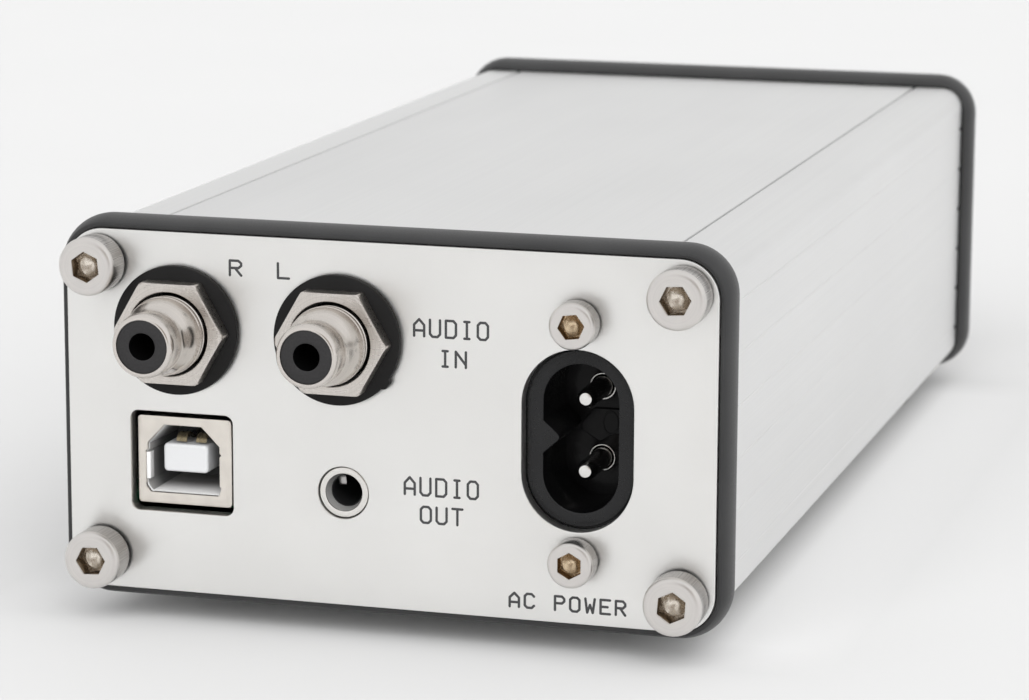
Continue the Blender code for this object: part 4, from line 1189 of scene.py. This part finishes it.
mesh = turned([                                                   # ring with a dark cone inside
    (1.96, ring_low), (1.96, out_face - 1.2), (1.97, out_face - 1.12), (2.20, out_face - 0.30),
    (2.26, out_face - 0.10), (2.30, out_face - 0.02), (2.36, out_face), (2.90, out_face),
    (2.97, out_face - 0.03), (3.01, out_face - 0.09), (3.03, out_face - 0.18),
    (3.03, ring_low)], 64, True)
retag(mesh, lambda c: math.hypot(c.x, c.z) < 2.25)
put("line_out_bezel_ring", mesh, [RING, CONE], out_origin, "line_out_ring",
    smooth=28)

mesh = bmesh.new()                                                # block with a stepped bore
housing = rounded(5.0, 2.95, 0.4, 6)
outer = tube(mesh, [(housing, jack_face), (housing, reach("line_out_jack")[0])])
bore = tube(mesh, rings([(1.94, jack_face), (1.94, out_face - 1.22), (1.86, out_face - 1.22),
                         (1.84, out_face - 1.4), (1.82, jack_face - 10.0)], 48))
fill(mesh, outer[0], [bore[0]])
fill(mesh, outer[1])
fill(mesh, bore[-1])
put("line_out_socket", mesh, [BLACK], out_origin, "line_out_jack", smooth=30)

mesh = bmesh.new()                                                # sprung contact inside the bore
leaf = soften([(out_face - 1.5, 1.72), (out_face - 1.75, 1.45), (out_face - 1.95, 0.42),
               (out_face - 2.6, 0.34), (out_face - 4.2, 1.0), (out_face - 6.0, 1.7)], 0.35, 4)
leaf_section = ((-1, 0.0), (-0.6, 0.10), (0.0, 0.14), (0.6, 0.10), (1, 0.0), (0.0, -0.10))
sweep(mesh, [[(0.78 + side * 0.48, y + dy, z) for side, dy in leaf_section] for y, z in leaf])
put("line_out_spring", mesh, [LEAF], out_origin, None, smooth=40)

# ================================================================== feet
for i in (1, 2, 3, 4):
    low, high = span(f"foot_{i}")
    height, radius = high.z - low.z, (high.x - low.x) / 2
    mesh = turned(soften([(0, 0.35), (2.2, 0.35), (2.5, 0.0), (radius - 0.7, 0.0),
                          (radius - 0.25, 0.5), (radius, height), (0, height)], 0.3, 3), 48)
    spin(mesh, PI / 2, "X")
    put(f"foot_{i}_pad", mesh, [RUBBER], ((low.x + high.x) / 2, (low.y + high.y) / 2, low.z),
        f"foot_{i}", smooth=35)


# ================================================================== controls
def volume_knob():
    """Hollow knob with a dished face, a knurled side and an index line."""
    back, outer = reach("volume_knob", front=True)
    low, high = span("volume_knob")
    radius = (high.x - low.x) / 2
    count = 288
    face = outer - 0.35

    def knurled(depth):
        points = []
        for i in range(count):
            a = 2 * PI * i / count
            r = radius - depth * abs(((i % 4) / 4) - 0.5) * 2
            points.append((r * math.cos(a), r * math.sin(a)))
        return points

    stack = rings([
        (8.2, face), (8.45, face + 0.03), (8.6, face + 0.3), (8.75, outer - 0.02), (8.95, outer),
        (radius - 1.1, outer), (radius - 0.75, outer - 0.06), (radius - 0.3, outer - 0.42),
        (radius - 0.12, outer - 0.72), (radius - 0.06, outer - 1.0)], count)
    stack += [(knurled(0.02), outer - 1.15), (knurled(0.30), outer - 1.5),
              (knurled(0.30), back + 1.5), (knurled(0.02), back + 1.15)]
    stack += rings([(radius - 0.12, back + 0.9), (radius - 0.35, back)], count)
    mesh = bmesh.new()
    outside = skin(mesh, stack, last_cap=False)
    bore_end = 9.6
    bore = tube(mesh, rings([(7.0, back), (7.0, 5.2), (3.15, 5.2), (3.15, bore_end)], count))
    bridge(mesh, outside[-1], bore[0])
    fan(mesh, bore[-1], bore_end)
    origin = on_front("volume_knob")
    put("volume_knob_turned", mesh, [KNOB], origin, "volume_knob", "knob",
        30, FRONT)
    mesh = bmesh.new()
    block(mesh, (-0.4, 0.4), (face - 0.1, face + 0.07), (3.4, 7.9), 0.05)
    put("volume_knob_index", mesh, [INK], origin, None, "knob", 30, FRONT)


def power_button():
    inner, outer = reach("power_button", front=True)
    profile = [(0, outer), (1.4, outer - 0.03), (2.4, outer - 0.12), (3.1, outer - 0.28),
               (3.55, outer - 0.5), (3.85, outer - 0.85), (3.98, outer - 1.3), (4.0, outer - 1.8),
               (4.0, -1.2), (1.6, -1.2), (1.6, inner), (0, inner)]
    put("power_button_cap", turned(profile), [BLACK], on_front("power_button"), "power_button",
        "button", 30, FRONT)


def selector_lever():
    """Tapered lever on a ball, tilted about the lever's joint."""
    pivot = next(j for j in frame["joints"] if j["child"] == "lever")["pos_m"]
    profile = [(0, 9.6), (0.5, 9.56), (0.95, 9.36), (1.25, 9.02), (1.4, 8.6), (1.45, 8.1),
               (1.43, 7.4), (1.36, 6.2), (1.2, 4.4), (1.0, 2.8), (0.88, 2.0), (0.85, 1.68)]
    ball = 1.9
    for i in range(1, 13):
        a = math.radians(152 - 132 * i / 12)
        profile.append((ball * math.sin(a), ball * -math.cos(a)))
    profile += [(0.7, -2.6), (0.55, -3.4), (0, -3.5)]
    put("selector_lever_bat", turned(profile, 40), [NICKEL], Vector(pivot) / MM, "selector_lever",
        "lever", 30, (math.radians(13.0), 0.0, PI))


def selector_nut():
    inner, outer = reach("selector_nut", front=True)
    count = 96
    flats = 8.0
    stack = [(hexagon(flats, count, 4.25), inner), (hexagon(flats, count), inner + 0.25)]
    for k in range(4):
        drop = 0.3 - 0.1 * k
        stack.append((hexagon(flats, count, 4.18 + drop * 1.6), outer - drop))
    stack += rings([(3.55, outer), (3.3, outer - 0.22), (3.25, inner)], count)
    mesh = bmesh.new()
    skin(mesh, stack, closed=True)
    put("selector_hex_nut", mesh, [NUT], on_front("selector_nut"), "selector_nut",
        smooth=24, turn=FRONT)


def bushing(profile, count, housing, back):
    """Hollow threaded neck, from the bottom of its bore out and back down to a square housing."""
    mesh = bmesh.new()
    neck = skin(mesh, rings(profile, count), last_cap=False)
    box = tube(mesh, [(housing, profile[-1][1]), (housing, back)])
    fill(mesh, box[0], [neck[-1]])
    fill(mesh, box[1])
    return mesh


def selector_bushing():
    back, face = reach("selector_switch", front=True)
    profile = [(2.45, -7.0), (2.45, -2.0), (2.25, 0.4), (2.12, face - 0.3), (2.25, face),
               (2.8, face), (2.95, face - 0.15)]
    profile += thread(face - 0.35, 0.2, pitch=0.4, crest=3.0, root=2.86, drops=(0.16, 0.2, 0.36))
    mesh = bushing(profile + [(3.0, -4.3)], 48, rounded(3.4, 6.4, 0.3, 4), back)
    put("selector_bushing", mesh, [TIN], on_front("selector_nut"), "selector_switch",
        smooth=28, turn=FRONT)


def headphone_socket():
    back, face = reach("headphone_jack", front=True)
    profile = [(3.3, -22.0), (3.3, face - 0.5), (3.5, face - 0.1), (3.62, face), (4.3, face),
               (4.42, face - 0.1)]
    profile += thread(face - 0.25, 0.0, pitch=0.5, crest=4.5, root=4.34, drops=(0.2, 0.25, 0.45))
    mesh = bushing(profile + [(4.5, -2.3)], 64, rounded(8.0, 8.0, 0.5, 4), back)
    put("headphone_socket", mesh, [BLACK], on_front("headphone_nut"), "headphone_jack",
        smooth=28, turn=FRONT)


def headphone_nut():
    inner, outer = reach("headphone_nut", front=True)
    low, high = span("headphone_nut")
    radius = (high.x - low.x) / 2
    profile = soften([(4.72, inner), (4.72, outer - 0.2), (4.9, outer), (6.0, outer),
                      (radius - 0.1, outer - 0.8), (radius, inner + 0.1),
                      (radius - 0.1, inner)], 0.14, 3)
    put("headphone_ring_nut", turned(profile, 72, True), [NICKEL], on_front("headphone_nut"),
        "headphone_nut", smooth=26, turn=FRONT)


def power_light():
    outer = reach("power_light", front=True)[1]
    profile = [(0, outer), (0.45, outer - 0.04), (0.85, outer - 0.17), (1.15, outer - 0.38),
               (1.38, outer - 0.68), (1.48, outer - 1.0), (1.5, -4.2), (1.9, -4.3), (1.9, -5.3),
               (0, -5.3)]
    put("power_light_lens", turned(profile, 40), [LENS], on_front("power_light"), "power_light",
        smooth=30, turn=FRONT)


volume_knob()
power_button()
selector_lever()
selector_nut()
selector_bushing()
headphone_socket()
headphone_nut()
power_light()

# ================================================================== CAD parts kept inside the case
INSIDE = {
    "main_board": BOARD, "transformer_core": CORE, "transformer_winding": TAPE,
    "mains_fuse_holder": BLACK, "filter_capacitor": SLEEVE, "converter_chip": EPOXY,
    "usb_chip": EPOXY, "output_amplifier": EPOXY, "voltage_regulator": EPOXY,
    "volume_shaft": SCREW, "volume_control": TIN, "power_switch": BLACK,
    "inlet_nut_1": SCREW, "inlet_nut_2": SCREW,
}
for node, look in INSIDE.items():
    materials = frame["nodes"][node].data.materials
    materials.clear()
    materials.append(look.material)

# ================================================================== floor
scene = bpy.context.scene
SHADOW_LIFT = 0.105                                 # strength of the painted light glowing on the floor beside the case, lifting its shadow

data = bpy.data.meshes.new("floor")
mesh = bmesh.new()
bmesh.ops.create_grid(mesh, x_segments=2, y_segments=2, size=4.0)
mesh.to_mesh(data)
mesh.free()
floor = bpy.data.objects.new("floor", data)
scene.collection.objects.link(floor)
paper = Surface("floor_paper", (0.43, 0.43, 0.43), rough=0.7, shine=0.15)
paper.colour(paper.noise(size=60.0), low=(0.428, 0.428, 0.428), high=(0.432, 0.432, 0.432))
axes = paper.axes()                          # painted light: the floor glows beside the long sides to lift the shadow there
from_x, from_y = paper.calc("ABSOLUTE", axes["X"]), paper.calc("ABSOLUTE", axes["Y"])
painted_glow = paper.calc(
    "MULTIPLY",
    paper.spread(from_x, SHADOW_LIFT, 0.0, start=CASE_X * MM, end=(CASE_X + 14.0) * MM),
    paper.spread(from_x, 0.0, 1.0, start=(CASE_X - 5.0) * MM, end=(CASE_X - 0.5) * MM))
painted_glow = paper.calc(
    "MULTIPLY", painted_glow,
    paper.spread(from_y, 1.0, 0.0, start=(PANEL_Y - 12.0) * MM, end=(PANEL_Y - 1.0) * MM))
feed(paper.shader, {"Emission Color": (1.0, 1.0, 1.0, 1.0), "Emission Strength": painted_glow})
data.materials.append(paper.material)
floor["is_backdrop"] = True

# ================================================================== world
SKY_ENDS = (0.80, 0.86)                      # grey straight down and straight up
SKY_STEPS = ((0.50, 0.84), (0.55, 0.86), (0.70, 0.90))           # (height, grey) between them
SKY_STRENGTH = 1.04
ROOM_INNER, ROOM_OUTER = 6.0, 26.0           # degrees over which the dark patch fades out
ROOM_COLOUR = (0.34, 0.30, 0.27, 1)
GAIN = (0.91, 1.09)                          # sky brightness on the far and the near side

world = bpy.data.worlds.new("studio")
world.use_nodes = True
scene.world = world
tree = world.node_tree
background = tree.nodes["Background"]
direction = add_node(tree, "ShaderNodeTexCoord", {}).outputs["Generated"]
axes = add_node(tree, "ShaderNodeSeparateXYZ", {0: direction}).outputs
height = add_node(tree, "ShaderNodeMapRange", {
    "From Min": -1.0, "From Max": 1.0, "Value": axes["Z"]}).outputs["Result"]
ramp = add_node(tree, "ShaderNodeValToRGB", {"Fac": height})
stops = ramp.color_ramp.elements
for i, grey in enumerate(SKY_ENDS):
    stops[i].position = float(i)
    stops[i].color = (grey, grey, grey, 1)
for position, grey in SKY_STEPS:
    stops.new(position).color = (grey, grey, grey, 1)


def towards(x, y, z):
    """Cosine of the angle between the sky's direction and a given one."""
    return add_node(tree, "ShaderNodeVectorMath", {
        0: direction, 1: Vector((x, y, z)).normalized()}, operation="DOT_PRODUCT").outputs["Value"]


# darker, warmer room behind the camera
room = add_node(tree, "ShaderNodeMapRange", {
    "From Min": math.cos(math.radians(ROOM_OUTER)), "From Max": math.cos(math.radians(ROOM_INNER)),
    "Value": towards(-0.26, 0.93, 0.22)}, interpolation_type="SMOOTHSTEP").outputs["Result"]
# a little brighter towards -X on the connector end's side
gain = add_node(tree, "ShaderNodeMapRange", {
    "From Min": -1.0, "From Max": 1.0, "To Min": GAIN[0], "To Max": GAIN[1],
    "Value": towards(-0.60, 0.75, 0.28)}).outputs["Result"]
sky = add_node(tree, "ShaderNodeVectorMath", {0: ramp.outputs["Color"], "Scale": gain},
               operation="SCALE").outputs["Vector"]
mix = add_node(tree, "ShaderNodeMix", {"Factor": room, "A": sky, "B": ROOM_COLOUR},
               data_type="RGBA")
feed(background, {"Color": mix.outputs["Result"], "Strength": SKY_STRENGTH})

# ================================================================== lights
# Wide soft lights: (name, direction they come from, strength)
WINDOWS = [
    ("right_window", (-0.75, 0.75, 0.45), 1.25),
    ("high_window", (-0.60, 0.30, 0.90), 0.7),
    ("front_fill", (-0.1, 1.0, 0.5), 5.0),
    ("right_fill", (-0.90, 0.50, 0.62), 0.7),
    ("back_fill", (-0.4, -0.6, 0.6), 0.25)]
for name, source, strength in WINDOWS:
    data = bpy.data.lights.new(name, "SUN")
    data.energy = strength
    data.angle = math.radians(60)
    light = bpy.data.objects.new(name, data)
    light.rotation_mode = "QUATERNION"
    light.rotation_quaternion = (-Vector(source)).to_track_quat("-Z", "Y")
    scene.collection.objects.link(light)
    light.visible_glossy = False             # lights matt surfaces; metal mirrors the sky

# ================================================================== camera
camera = bpy.data.objects.new("camera", bpy.data.cameras.new("camera"))
scene.collection.objects.link(camera)
right = (-0.95951588, -0.28161885, 0.00448385)
up = (0.05942898, -0.18687049, 0.98058534)
backward = (-0.27531342, 0.94115368, 0.19604152)
camera.matrix_world = (Matrix.Translation(Vector((-0.13082, 0.47991, 0.11828)))
                       @ Matrix((right, up, backward)).transposed().to_4x4())
camera.data.sensor_width = 36.0
camera.data.lens = 127.048513
camera.data.clip_start, camera.data.clip_end = 0.01, 20.0
focus = bpy.data.objects.new("focus_point", None)
focus.location = (-0.005, PANEL_Y * MM + 0.002, MID_Z * MM)
scene.collection.objects.link(focus)
camera.data.dof.use_dof = True
camera.data.dof.focus_object = focus
camera.data.dof.aperture_fstop = 70.0
scene.camera = camera
scene.view_settings.view_transform = "Standard"
scene.view_settings.look = "None"
scene.view_settings.exposure = 0.0

low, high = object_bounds()
